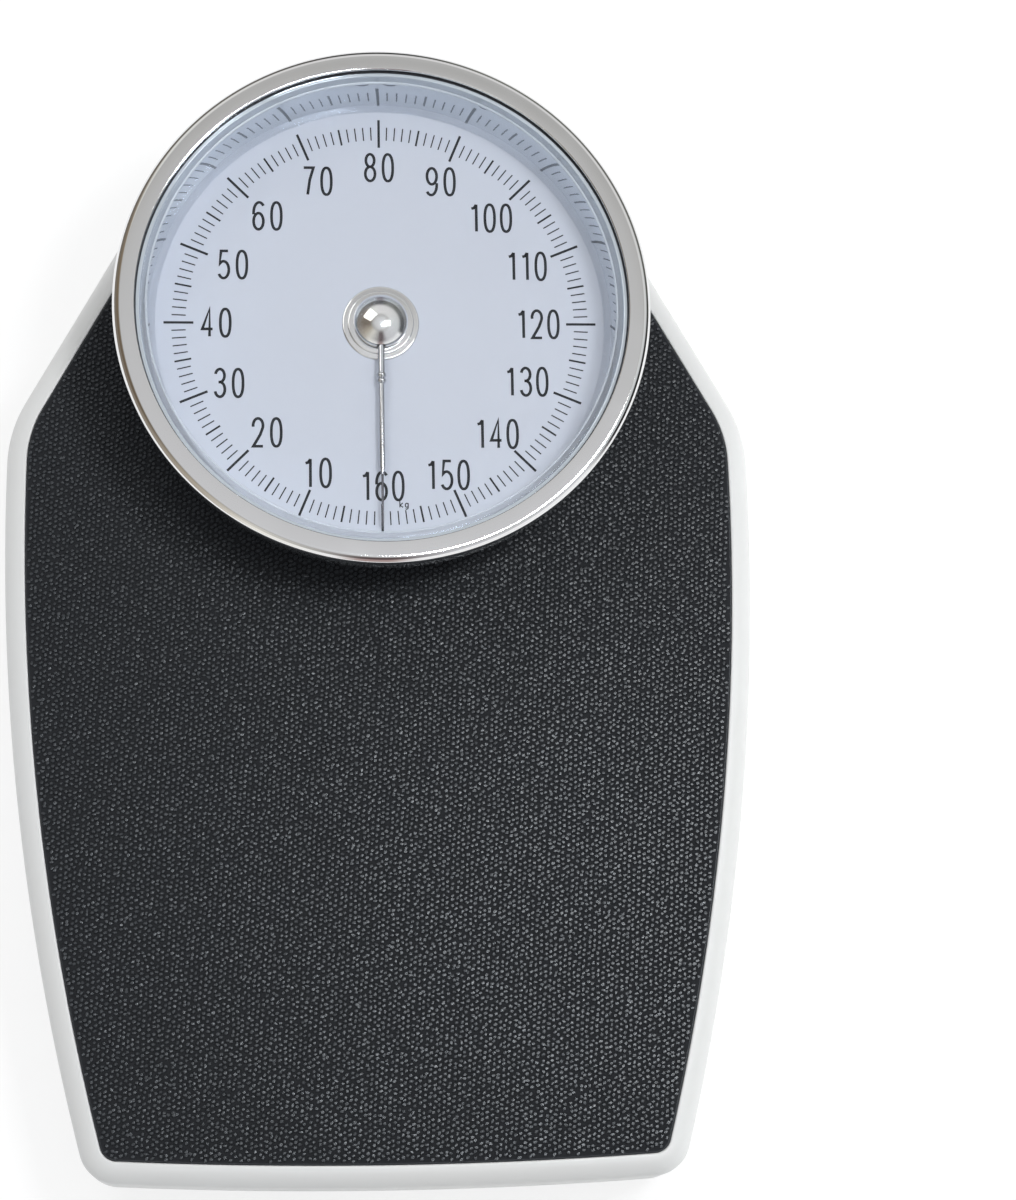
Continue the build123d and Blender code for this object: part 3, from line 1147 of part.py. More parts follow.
with BuildPart() as lens_wall:
    lens_wall_foot = WALL_FOOT_RADIUS - LENS_WALL_GAP
    lens_wall_top = WALL_TOP_RADIUS - LENS_WALL_GAP
    with BuildSketch(DIAL_PROFILE_PLANE):
        with BuildLine():
            Polyline(
                (lens_wall_foot - LENS_WALL, DIAL_TOP),
                (lens_wall_foot, DIAL_TOP),
                (lens_wall_top, LENS_BOTTOM),
                (lens_wall_top - LENS_WALL, LENS_BOTTOM),
                close=True,
            )
        make_face()
    revolve(axis=DIAL_AXIS)
save(lens_wall.part, "lens_wall")

with BuildPart() as bezel_ring:
    lens_top = LENS_BOTTOM + LENS_THICKNESS
    skirt_z = BEZEL_TOP - BEZEL_SKIRT
    with BuildSketch(DIAL_PROFILE_PLANE) as bezel_profile:
        with BuildLine():
            Polyline(
                (BEZEL_INNER_RADIUS, lens_top + 0.05),
                (BEZEL_INNER_RADIUS, BEZEL_TOP - 0.3),
                (BEZEL_INNER_RADIUS + 0.6, BEZEL_TOP),
                (BEZEL_RADIUS, BEZEL_TOP),
                (BEZEL_RADIUS, BEZEL_TOP - BEZEL_ROLL),
                (BEZEL_RADIUS - BEZEL_TAPER, skirt_z),
                (BEZEL_RADIUS - BEZEL_TAPER - BEZEL_SHEET, skirt_z),
                (BEZEL_RADIUS - BEZEL_SHEET, BEZEL_TOP - BEZEL_ROLL),
                (BEZEL_RADIUS - BEZEL_SHEET, lens_top + 0.05),
                close=True,
            )
        make_face()
        fillet(bezel_profile.vertices().group_by(Axis.X)[-1].sort_by(Axis.Y)[-1], BEZEL_ROLL - 0.1)
    revolve(axis=DIAL_AXIS)
save(bezel_ring.part, "bezel_ring")


# Pointer: stepped rod with beads and a fine tip, on a boss under a domed cap
with BuildPart() as pointer:
    with BuildSketch(Plane.XY.offset(POINTER_BOSS_BOTTOM)):
        with Locations((0, DIAL_Y)):
            Circle(POINTER_BOSS_RADIUS)
    extrude(amount=POINTER_BOSS_HEIGHT)
    bead_middle = (BEAD_FRONT + BEAD_REAR) / 2
    with BuildSketch(Plane(origin=(0, DIAL_Y, POINTER_Z), x_dir=(0, -1, 0), z_dir=(1, 0, 0))):
        with BuildLine():
            Polyline((0, 0), (0, ROD_RADIUS), (BEAD_FRONT, ROD_RADIUS))
            ThreePointArc(
                (BEAD_FRONT, ROD_RADIUS),
                ((BEAD_FRONT + bead_middle) / 2, BEAD_RADIUS),
                (bead_middle, ROD_RADIUS),
            )
            ThreePointArc(
                (bead_middle, ROD_RADIUS),
                ((bead_middle + BEAD_REAR) / 2, BEAD_RADIUS),
                (BEAD_REAR, SLIM_RADIUS),
            )
            Polyline(
                (BEAD_REAR, SLIM_RADIUS),
                (SLIM_END, SLIM_RADIUS),
                (NEEDLE_START, NEEDLE_RADIUS),
                (POINTER_LENGTH - 1.5, NEEDLE_RADIUS),
                (POINTER_LENGTH, 0.1),
                (POINTER_LENGTH, 0),
                (0, 0),
            )
        make_face()
    revolve(axis=Axis((0, DIAL_Y, POINTER_Z), (0, -1, 0)))
    with BuildSketch(Plane.XY.offset(POINTER_BOSS_BOTTOM)):
        with Locations((0, DIAL_Y)):
            Circle(SHAFT_RADIUS + FIXED_FIT)
    extrude(amount=POINTER_BOSS_HEIGHT, mode=Mode.SUBTRACT)
save(pointer.part, "pointer")

with BuildPart() as pointer_cap:
    dome_rise = CAP_HEIGHT - CAP_SKIRT
    dome_drop = (CAP_RADIUS**2 - dome_rise**2) / (2 * dome_rise)
    dome_radius = dome_drop + dome_rise
    under_radius = dome_radius - CAP_SHEET
    centre_z = CAP_BOTTOM + CAP_SKIRT - dome_drop
    under_x = CAP_RADIUS - CAP_SHEET
    slope = asin(CAP_RADIUS / dome_radius) / 2
    with BuildSketch(DIAL_PROFILE_PLANE):
        with BuildLine():
            Line((CAP_RADIUS, CAP_BOTTOM), (CAP_RADIUS, CAP_BOTTOM + CAP_SKIRT))
            ThreePointArc(
                (CAP_RADIUS, CAP_BOTTOM + CAP_SKIRT),
                (dome_radius * sin(slope), centre_z + dome_radius * cos(slope)),
                (0, centre_z + dome_radius),
            )
            Line((0, centre_z + dome_radius), (0, centre_z + under_radius))
            ThreePointArc(
                (0, centre_z + under_radius),
                (under_radius * sin(slope), centre_z + under_radius * cos(slope)),
                (under_x, centre_z + sqrt(under_radius**2 - under_x**2)),
            )
            Polyline(
                (under_x, centre_z + sqrt(under_radius**2 - under_x**2)),
                (under_x, CAP_BOTTOM),
                (CAP_RADIUS, CAP_BOTTOM),
            )
        make_face()
    revolve(axis=DIAL_AXIS)
    with BuildSketch(upright_plane(DIAL_Y)):
        with Locations((0, POINTER_Z)):
            Circle(ROD_RADIUS + 0.05)
        with Locations((0, (CAP_BOTTOM + POINTER_Z) / 2)):
            Rectangle(2 * (ROD_RADIUS + 0.05), POINTER_Z - CAP_BOTTOM)
    extrude(amount=CAP_RADIUS + 1.0, mode=Mode.SUBTRACT)
save(pointer_cap.part, "pointer_cap")


def screws(spots, tip_z, seat_z):
    """Round-headed screws whose shanks run from tip_z to seat_z and whose heads lie beyond it."""
    up = 1 if seat_z > tip_z else -1
    with BuildPart() as group:
        with BuildSketch(Plane.XY.offset(tip_z)):
            with Locations(*spots):
                Circle(SCREW_RADIUS)
        extrude(amount=seat_z - tip_z)
        with BuildSketch(Plane.XY.offset(seat_z)):
            with Locations(*spots):
                Circle(SCREW_HEAD_RADIUS)
        extrude(amount=up * SCREW_HEAD_HEIGHT, taper=20)
    return group.part


save(screws(COLUMN_SCREW_SPOTS, FOOT_HEIGHT, FLOOR_TOP + COLUMN_WALL), "column_screws")
save(screws(FRAME_SCREW_SPOTS, FOOT_HEIGHT, FLOOR_TOP + FRAME_SHEET), "frame_screws")
save(screws(HOUSING_SCREW_SPOTS, HOUSING_FLOOR, HOUSING_BOTTOM - COLUMN_WALL), "housing_screws")
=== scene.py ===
import json
from math import acos, atan2, copysign, cos, hypot, pi, radians, sin, sqrt, tan

import bmesh
import bpy
import numpy as np
from mathutils import Matrix, Vector


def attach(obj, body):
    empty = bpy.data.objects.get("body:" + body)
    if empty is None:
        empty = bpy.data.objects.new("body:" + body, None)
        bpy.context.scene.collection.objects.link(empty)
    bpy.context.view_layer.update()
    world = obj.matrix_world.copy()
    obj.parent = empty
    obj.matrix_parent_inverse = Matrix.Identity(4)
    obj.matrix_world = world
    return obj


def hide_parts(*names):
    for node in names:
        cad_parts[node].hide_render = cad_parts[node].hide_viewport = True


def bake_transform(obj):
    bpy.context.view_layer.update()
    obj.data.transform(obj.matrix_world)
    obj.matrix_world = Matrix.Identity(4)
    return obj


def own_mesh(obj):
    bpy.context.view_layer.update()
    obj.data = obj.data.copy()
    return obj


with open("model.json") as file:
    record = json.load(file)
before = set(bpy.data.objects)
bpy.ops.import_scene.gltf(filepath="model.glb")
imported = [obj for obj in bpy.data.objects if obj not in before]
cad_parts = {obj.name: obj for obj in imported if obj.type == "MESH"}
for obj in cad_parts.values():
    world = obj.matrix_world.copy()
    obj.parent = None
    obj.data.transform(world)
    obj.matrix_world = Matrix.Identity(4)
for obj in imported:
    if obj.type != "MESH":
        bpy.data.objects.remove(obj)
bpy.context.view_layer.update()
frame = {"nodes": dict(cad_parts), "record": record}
NODES = frame["nodes"]
MM = 0.001
scene = bpy.context.scene

# Sizes of the dial head, in millimetres
DIAL_Y = 113.2
DIAL_TOP = 68.0
LENS_BOTTOM = 92.2
LENS_TOP = 94.7
LENS_RADIUS = 100.6
BEZEL_TOP = 96.0
BEZEL_LIP = 94.75
BEZEL_BEND = 92.8
BEZEL_FOOT = 84.0
BEZEL_RADIUS = 102.8
BEZEL_INNER = 94.0
BEZEL_SHEET = 1.2
BEZEL_TAPER = 1.3
WALL_FOOT_RADIUS = 89.1
WALL_TOP_RADIUS = 92.2
FLANGE_RADIUS = 96.3
FLANGE_BOTTOM = 91.4
SEAM_RADIUS = 93.5
CLEAR_FOOT_RADII = (86.2, 88.8)
CLEAR_TOP_RADII = (89.3, 91.88)
SEAT_GAP = 0.02
POINTER_Z = 71.05

# Sizes of the platform and the mat: heights, the hole for the head and the plan
MAT_TOP = 51.8
LIP_TOP = 51.0
MAT_BOTTOM = 49.8
UNDERSIDE = 48.8
SKIRT_FOOT = 20.0
ROLL = 7.0
ROLL_Z = 44.0
SHEET = 1.0
MAT_HOLE = 70.5
HALF_WIDTH = 145.0
WIDEST_Y = 39.6
SIDE_RADIUS = 951.0
FRONT_Y = -216.0
FRONT_RADIUS = 1735.0
SHOULDER_Y = 76.3
DIAGONAL = radians(29.25)
REAR_RADIUS = 178.0
REAR_Y = 207.0
REAR_CORNER = 38.0
SHOULDER_CORNER = 53.0
FRONT_CORNER = 14.5


# Camera, solved from the photo
FOCAL_PIXELS = 3121.78
PHOTO_PIXELS = 1200
SENSOR_WIDTH = 36.0
camera_data = bpy.data.cameras.new("camera")
camera_data.sensor_width = SENSOR_WIDTH
camera_data.lens = FOCAL_PIXELS / PHOTO_PIXELS * SENSOR_WIDTH
camera_data.clip_start = 0.05
camera_data.clip_end = 20.0
camera = bpy.data.objects.new("camera", camera_data)
scene.collection.objects.link(camera)
right = Vector((0.9969430, -0.0192996, 0.0757111))
up = Vector((0.0017205, 0.9742003, 0.2256784))
view = Vector((0.0781133, 0.2248583, -0.9712554))
turn = Matrix((right, up, -view)).transposed()
camera.matrix_world = Matrix.Translation((-0.045549, -0.264895, 1.225102)) @ turn.to_4x4()
scene.camera = camera
scene.view_settings.view_transform = "Standard"


# Materials
def material(name, colour, roughness=0.4, metallic=0.0, **sockets):
    mat = bpy.data.materials.new(name)
    mat.use_nodes = True
    shader = mat.node_tree.nodes["Principled BSDF"]
    shader.inputs["Base Color"].default_value = (*colour, 1.0)
    shader.inputs["Roughness"].default_value = roughness
    shader.inputs["Metallic"].default_value = metallic
    for socket, value in sockets.items():
        shader.inputs[socket.replace("_", " ")].default_value = value
    return mat


def noise(mat, scale, detail=3.0):
    """A noise over the object's own coordinates, scale per metre."""
    tree = mat.node_tree
    place = tree.nodes.new("ShaderNodeTexCoord")
    source = tree.nodes.new("ShaderNodeTexNoise")
    source.inputs["Scale"].default_value = scale
    source.inputs["Detail"].default_value = detail
    tree.links.new(place.outputs["Object"], source.inputs["Vector"])
    return source.outputs["Fac"]


# Most of a noise's values lie between these
NOISE_LOW = 0.3
NOISE_HIGH = 0.7


def spread(mat, value, low, high):
    """Map a noise value onto low to high."""
    ranged = mat.node_tree.nodes.new("ShaderNodeMapRange")
    ranged.inputs["From Min"].default_value = NOISE_LOW
    ranged.inputs["From Max"].default_value = NOISE_HIGH
    ranged.inputs["To Min"].default_value = low
    ranged.inputs["To Max"].default_value = high
    mat.node_tree.links.new(value, ranged.inputs["Value"])
    return ranged.outputs["Result"]


def tint(mat, value, first, second):
    """Blend the base colour between two colours by a value."""
    tree = mat.node_tree
    mix = tree.nodes.new("ShaderNodeMix")
    mix.data_type = "RGBA"
    mix.inputs[6].default_value = (*first, 1.0)
    mix.inputs[7].default_value = (*second, 1.0)
    tree.links.new(value, mix.inputs["Factor"])
    tree.links.new(mix.outputs[2], tree.nodes["Principled BSDF"].inputs["Base Color"])


def bump(mat, value, strength, distance=0.0001):
    """Fine relief by a value, distance in metres."""
    tree = mat.node_tree
    node = tree.nodes.new("ShaderNodeBump")
    node.inputs["Strength"].default_value = strength
    node.inputs["Distance"].default_value = distance
    tree.links.new(value, node.inputs["Height"])
    tree.links.new(node.outputs["Normal"], tree.nodes["Principled BSDF"].inputs["Normal"])


def rough(mat, value):
    mat.node_tree.links.new(value, mat.node_tree.nodes["Principled BSDF"].inputs["Roughness"])


def combine(mat, operation, first, second):
    """What a math node makes of a value and a second value or number."""
    tree = mat.node_tree
    node = tree.nodes.new("ShaderNodeMath")
    node.operation = operation
    tree.links.new(first, node.inputs[0])
    if isinstance(second, float):
        node.inputs[1].default_value = second
    else:
        tree.links.new(second, node.inputs[1])
    return node.outputs[0]


def metal(name, colour, low, high, wear, grain=None):
    """Metal with uneven gloss and faint patches, and with a fine grain unless it is polished."""
    mat = material(name, colour, metallic=1.0)
    rough(mat, spread(mat, noise(mat, 45.0, 6.0), low, high))
    tint(mat, noise(mat, 24.0, 5.0), colour, tuple(c * (1 - wear) for c in colour))
    if grain:
        bump(mat, noise(mat, grain, 2.0), 0.12)
    return mat


enamel = material("white_enamel", (0.71, 0.715, 0.71), 0.28)
tint(enamel, noise(enamel, 7.0, 3.0), (0.725, 0.73, 0.73), (0.69, 0.685, 0.67))
rough(enamel, spread(enamel, noise(enamel, 40.0, 4.0), 0.42, 0.49))

vinyl = material("black_vinyl", (0.029, 0.032, 0.037), 0.34, Specular_IOR_Level=0.34)
tint(vinyl, noise(vinyl, 12.0, 4.0), (0.024, 0.0265, 0.030), (0.034, 0.038, 0.044))
rough(vinyl, spread(vinyl, noise(vinyl, 420.0, 2.0), 0.29, 0.40))
bump(vinyl, noise(vinyl, 2400.0, 2.0), 0.4)
# Sheet between the grains: rougher and less glossy, and darker in colour as painted shade
valley_painted_shade = material("vinyl_valley", (0.018, 0.019, 0.0215), 0.85, Specular_IOR_Level=0.15)
tint(valley_painted_shade, noise(valley_painted_shade, 500.0, 3.0), (0.015, 0.016, 0.018), (0.022, 0.0235, 0.027))
bump(valley_painted_shade, noise(valley_painted_shade, 2600.0, 2.0), 0.5)

chrome = metal("bezel_chrome", (0.86, 0.86, 0.865), 0.07, 0.12, 0.04)
hub_chrome = metal("hub_chrome", (0.86, 0.865, 0.87), 0.07, 0.13, 0.03)
aluminium = metal("pointer_aluminium", (0.62, 0.635, 0.665), 0.12, 0.22, 0.06, 2400.0)
needle_dark = metal("needle_dark", (0.10, 0.10, 0.115), 0.29, 0.4, 0.1, 2400.0)
zinc = metal("zinc_steel", (0.60, 0.61, 0.63), 0.29, 0.46, 0.22, 500.0)
steel = metal("lever_steel", (0.46, 0.47, 0.49), 0.32, 0.50, 0.25, 700.0)
spring = metal("spring_steel", (0.40, 0.41, 0.44), 0.29, 0.38, 0.2, 900.0)
brass = metal("brass", (0.78, 0.58, 0.28), 0.18, 0.26, 0.18, 900.0)

dial_face = material("dial_face", (0.55, 0.585, 0.665), 0.5)
tint(dial_face, noise(dial_face, 8.0, 3.0), (0.54, 0.58, 0.67), (0.50, 0.53, 0.605))
rough(dial_face, spread(dial_face, noise(dial_face, 300.0, 3.0), 0.42, 0.6))
bump(dial_face, noise(dial_face, 1400.0, 2.0), 0.04)

ink = material("dial_ink", (0.008, 0.010, 0.015), 0.5, Specular_IOR_Level=0.1)
tint(ink, noise(ink, 1500.0, 3.0), (0.006, 0.008, 0.012), (0.012, 0.014, 0.020))

wall = material("wall_gloss", (0.70, 0.77, 0.84), 0.05, 0.45)
tint(wall, noise(wall, 30.0, 3.0), (0.72, 0.79, 0.86), (0.64, 0.71, 0.79))
rough(wall, spread(wall, noise(wall, 200.0, 3.0), 0.02, 0.06))

housing = material("housing_white", (0.74, 0.75, 0.76), 0.34)
tint(housing, noise(housing, 14.0, 4.0), (0.75, 0.76, 0.77), (0.70, 0.71, 0.72))
bump(housing, noise(housing, 900.0, 2.0), 0.1)

rubber = material("foot_rubber", (0.030, 0.030, 0.031), 0.75)
tint(rubber, noise(rubber, 300.0, 5.0), (0.024, 0.024, 0.025), (0.045, 0.044, 0.043))
bump(rubber, noise(rubber, 1600.0, 3.0), 0.5, 0.0002)

wheel_plastic = material("wheel_plastic", (0.045, 0.046, 0.050), 0.4)
tint(wheel_plastic, noise(wheel_plastic, 40.0, 4.0), (0.038, 0.039, 0.043), (0.060, 0.060, 0.064))
bump(wheel_plastic, noise(wheel_plastic, 1300.0, 2.0), 0.2)

# The window lets light and shadow straight through, so that the dial behind it isn't darkened
lens_clear = material("lens_clear", (1.0, 1.0, 1.0), 0.0, Transmission_Weight=1.0, IOR=1.28)
rough(lens_clear, spread(lens_clear, noise(lens_clear, 60.0, 6.0), 0.0, 0.02))
lens_tree = lens_clear.node_tree
lens_rays = lens_tree.nodes.new("ShaderNodeLightPath").outputs
let_through = combine(lens_clear, "MAXIMUM", lens_rays["Is Shadow Ray"], lens_rays["Is Diffuse Ray"])
see_through = lens_tree.nodes.new("ShaderNodeBsdfTransparent")
lens_mix = lens_tree.nodes.new("ShaderNodeMixShader")
lens_tree.links.new(let_through, lens_mix.inputs["Fac"])
lens_tree.links.new(lens_tree.nodes["Principled BSDF"].outputs[0], lens_mix.inputs[1])
lens_tree.links.new(see_through.outputs[0], lens_mix.inputs[2])
lens_tree.links.new(lens_mix.outputs[0], lens_tree.nodes["Material Output"].inputs["Surface"])

wall_clear = material("wall_clear", (0.92, 0.95, 0.98), 0.04, 1.0, Alpha=0.10)
rough(wall_clear, spread(wall_clear, noise(wall_clear, 120.0, 3.0), 0.02, 0.08))
tint(wall_clear, noise(wall_clear, 60.0, 3.0), (0.94, 0.97, 1.0), (0.86, 0.90, 0.95))
wall_mirror = material("wall_mirror", (0.88, 0.92, 0.97), 0.02, 1.0, Alpha=0.5)
rough(wall_mirror, spread(wall_mirror, noise(wall_mirror, 90.0, 3.0), 0.01, 0.04))
tint(wall_mirror, noise(wall_mirror, 40.0, 3.0), (0.90, 0.94, 0.99), (0.82, 0.87, 0.93))
# Pale colour for the rounded upper edge of the clear wall: a painted highlight
wall_edge_painted_highlight = material("wall_edge_painted_highlight", (0.72, 0.78, 0.86), 0.2, Alpha=0.55)
tint(wall_edge_painted_highlight, noise(wall_edge_painted_highlight, 90.0, 3.0), (0.80, 0.86, 0.93), (0.58, 0.65, 0.74))
# Near-black on the flange beyond the seam radius: painted shade in the gap under the bezel's rim
seam_painted_shade = material("seam_painted_shade", (0.010, 0.013, 0.020), 0.5, Specular_IOR_Level=0.2)
tint(seam_painted_shade, noise(seam_painted_shade, 200.0, 3.0), (0.006, 0.008, 0.013), (0.018, 0.022, 0.030))

FINISH = {
    "white_enamel": enamel,
    "black_vinyl": vinyl,
    "bezel_chrome": chrome,
    "lens_clear": lens_clear,
    "dial_face": dial_face,
    "wall_gloss": wall,
    "housing_white": housing,
    "hub_chrome": hub_chrome,
    "pointer_aluminium": aluminium,
    "zinc_steel": zinc,
    "lever_steel": steel,
    "spring_steel": spring,
    "brass": brass,
    "foot_rubber": rubber,
    "wheel_plastic": wheel_plastic,
}
for row in frame["record"]["subparts"]:
    node = NODES[row["node"]]
    node.data.materials.clear()
    node.data.materials.append(FINISH[row["material_slot"]])


# Mesh helpers
def add_piece(name, bm, body, finish, stands_for=(), sharp=radians(35)):
    """Make an object of a mesh that rides on a body and stands for nodes of the frame."""
    mesh = bpy.data.meshes.new(name)
    bmesh.ops.recalc_face_normals(bm, faces=bm.faces)
    bm.to_mesh(mesh)
    bm.free()
    mesh.shade_smooth()
    mesh.set_sharp_from_angle(angle=sharp)
    mesh.materials.append(finish)
    piece = bpy.data.objects.new(name, mesh)
    scene.collection.objects.link(piece)
    if body:
        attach(piece, body)
    if stands_for:
        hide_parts(*stands_for)
    return piece


def rounded(points, radii, steps=6):
    """Closed profile with its corners rounded."""
    out = []
    count = len(points)
    for i, (point, radius) in enumerate(zip(points, radii)):
        before, after = points[i - 1], points[(i + 1) % count]
        if radius <= 0:
            out.append(point)
            continue
        ax, ay = before[0] - point[0], before[1] - point[1]
        bx, by = after[0] - point[0], after[1] - point[1]
        la, lb = hypot(ax, ay), hypot(bx, by)
        ax, ay, bx, by = ax / la, ay / la, bx / lb, by / lb
        corner = acos(max(-1, min(1, ax * bx + ay * by)))
        reach = radius / tan(corner / 2)
        centre_reach = radius / sin(corner / 2)
        mx, my = ax + bx, ay + by
        lm = hypot(mx, my)
        cx, cy = point[0] + mx / lm * centre_reach, point[1] + my / lm * centre_reach
        start = (point[0] + ax * reach, point[1] + ay * reach)
        end = (point[0] + bx * reach, point[1] + by * reach)
        a0 = atan2(start[1] - cy, start[0] - cx)
        a1 = atan2(end[1] - cy, end[0] - cx)
        sweep = (a1 - a0 + pi) % (2 * pi) - pi
        for step in range(steps + 1):
            angle = a0 + sweep * step / steps
            out.append((cx + radius * cos(angle), cy + radius * sin(angle)))
    return out


def skin(bm, rings):
    """Faces from each ring to the next, where a ring of one vertex is a tip."""
    for one, two in zip(rings, rings[1:]):
        count = max(len(one), len(two))
        if count == 1:
            continue
        for i in range(count):
            j = (i + 1) % count
            if len(one) == 1:
                bm.faces.new((one[0], two[i], two[j]))
            elif len(two) == 1:
                bm.faces.new((one[i], one[j], two[0]))
            else:
                bm.faces.new((one[i], one[j], two[j], two[i]))


def circle_loop(bm, radius, z, count=160):
    """Level ring of vertices about the dial's axis."""
    angles = [2 * pi * i / count for i in range(count)]
    return [bm.verts.new((radius * cos(a) * MM, (DIAL_Y + radius * sin(a)) * MM, z * MM)) for a in angles]


def lathe(profile, segments, closed=True):
    """Revolve a profile of (radius, z) in millimetres about the dial's axis."""
    bm = bmesh.new()
    rings = [circle_loop(bm, radius, z, segments if radius > 1e-6 else 1) for radius, z in profile]
    skin(bm, rings + rings[:1] if closed else rings)
    return bm


# Dial head: each profile is its corners, then the radius that rounds each of them
bezel_profile = rounded(
    [
        (BEZEL_INNER, BEZEL_LIP),
        (BEZEL_INNER, BEZEL_TOP),
        (BEZEL_RADIUS, BEZEL_TOP),
        (BEZEL_RADIUS - BEZEL_TAPER, BEZEL_FOOT),
        (BEZEL_RADIUS - BEZEL_TAPER - BEZEL_SHEET, BEZEL_FOOT),
        (BEZEL_RADIUS - BEZEL_SHEET, BEZEL_BEND),
        (BEZEL_RADIUS - BEZEL_SHEET, BEZEL_LIP),
    ],
    [0, 0.45, 3.1, 0.5, 0.5, 0, 0],
    24,
)
add_piece("bezel", lathe(bezel_profile, segments=640), "base", chrome, ["bezel_ring"])

lens_foot = LENS_BOTTOM + SEAT_GAP
lens_profile = rounded(
    [(0, lens_foot), (LENS_RADIUS, lens_foot), (LENS_RADIUS, LENS_TOP), (0, LENS_TOP)], [0, 0.2, 0.5, 0]
)
window = lathe(lens_profile, segments=256, closed=False)
add_piece("window", window, "base", lens_clear, ["dial_lens"])

wall_profile = rounded(
    [
        (WALL_FOOT_RADIUS, DIAL_TOP),
        (WALL_FOOT_RADIUS + 1.2, DIAL_TOP),
        (WALL_TOP_RADIUS + 1.1, FLANGE_BOTTOM),
        (FLANGE_RADIUS, FLANGE_BOTTOM),
        (FLANGE_RADIUS, LENS_BOTTOM),
        (SEAM_RADIUS, LENS_BOTTOM),
        (WALL_TOP_RADIUS, LENS_BOTTOM),
    ],
    [0.3, 0.2, 0, 0.1, 0.1, 0, 0.4],
)
dial_wall = add_piece("wall", lathe(wall_profile, segments=384), "base", wall, ["spacer_ring"])
# Faces beyond the seam radius take the near-black painted shade
dial_wall.data.materials.append(seam_painted_shade)
for face in dial_wall.data.polygons:
    if hypot(face.center.x, face.center.y - DIAL_Y * MM) > SEAM_RADIUS * MM:
        face.material_index = 1

# The window's wall: its inner face mirrors the ticks, and its rounded upper edge carries a pale painted
# highlight
clear_foot, clear_top = DIAL_TOP + 0.03, LENS_BOTTOM - SEAT_GAP
clear_profile = rounded(
    [
        (CLEAR_FOOT_RADII[0], clear_foot),
        (CLEAR_FOOT_RADII[1], clear_foot),
        (CLEAR_TOP_RADII[1], clear_top),
        (CLEAR_TOP_RADII[0], clear_top),
    ],
    [0, 0, 0.2, 0.85],
)
clear_ring = lathe(clear_profile, segments=384)
window_wall = add_piece("window_wall", clear_ring, "base", wall_clear, ["lens_wall"])
window_wall.data.materials.append(wall_mirror)
window_wall.data.materials.append(wall_edge_painted_highlight)
STEEP = 0.3
LEVEL = 0.995
for face in window_wall.data.polygons:
    inward = face.center.x * face.normal.x + (face.center.y - DIAL_Y * MM) * face.normal.y < 0
    if inward and face.normal.z < STEEP:
        face.material_index = 1
    elif inward and face.normal.z < LEVEL:
        face.material_index = 2

collar_profile = rounded(
    [(6.5, DIAL_TOP), (14.9, DIAL_TOP), (14.9, 68.8), (12.7, 68.8), (12.7, 69.4), (6.5, 69.4)],
    [0, 0, 0.75, 0.05, 0.55, 0.2],
    8,
)
add_piece("collar", lathe(collar_profile, segments=128), "base", hub_chrome, ["hub_collar"])


# Ticks and figures, printed on the dial
PRINT_HEIGHT = 0.04
PRINT_SINK = 0.01
DIVISIONS = 160
# Inner radius, outer radius and width of the ticks at each tenth, each fifth and every other division
TENTH = (71.6, 83.0, 0.95)
FIFTH = (73.8, 80.3, 0.72)
SINGLE = (74.6, 80.0, 0.46)


def raise_print(bm):
    """Give flat print its thickness."""
    made = bmesh.ops.extrude_face_region(bm, geom=list(bm.faces))
    raised = [part for part in made["geom"] if isinstance(part, bmesh.types.BMVert)]
    bmesh.ops.translate(bm, vec=(0, 0, PRINT_HEIGHT * MM), verts=raised)
    return bm


def dial_point(bm, x, y):
    return bm.verts.new((x * MM, (DIAL_Y + y) * MM, (DIAL_TOP - PRINT_SINK) * MM))


def dial_angle(value):
    """Heading of a value on the dial: 0 at the front, rising clockwise."""
    return radians(-90 - value * 360 / DIVISIONS)


ticks = bmesh.new()
for i in range(DIVISIONS):
    inner, outer, width = TENTH if i % 10 == 0 else FIFTH if i % 5 == 0 else SINGLE
    c, s = cos(dial_angle(i)), sin(dial_angle(i))
    corners = [(inner, -width / 2), (outer, -width / 2), (outer, width / 2), (inner, width / 2)]
    ticks.faces.new([dial_point(ticks, x * c - y * s, x * s + y * c) for x, y in corners])
add_piece("dial_ticks", raise_print(ticks), "base", ink)


def arc(cx, cy, rx, ry, start, end, steps, power=1.0):
    """Points on an ellipse or squarer oval from start to end, in degrees."""
    out = []
    for i in range(steps + 1):
        angle = radians(start + (end - start) * i / steps)
        c, s = cos(angle), sin(angle)
        out.append((cx + rx * copysign(abs(c) ** power, c), cy + ry * copysign(abs(s) ** power, s)))
    return out


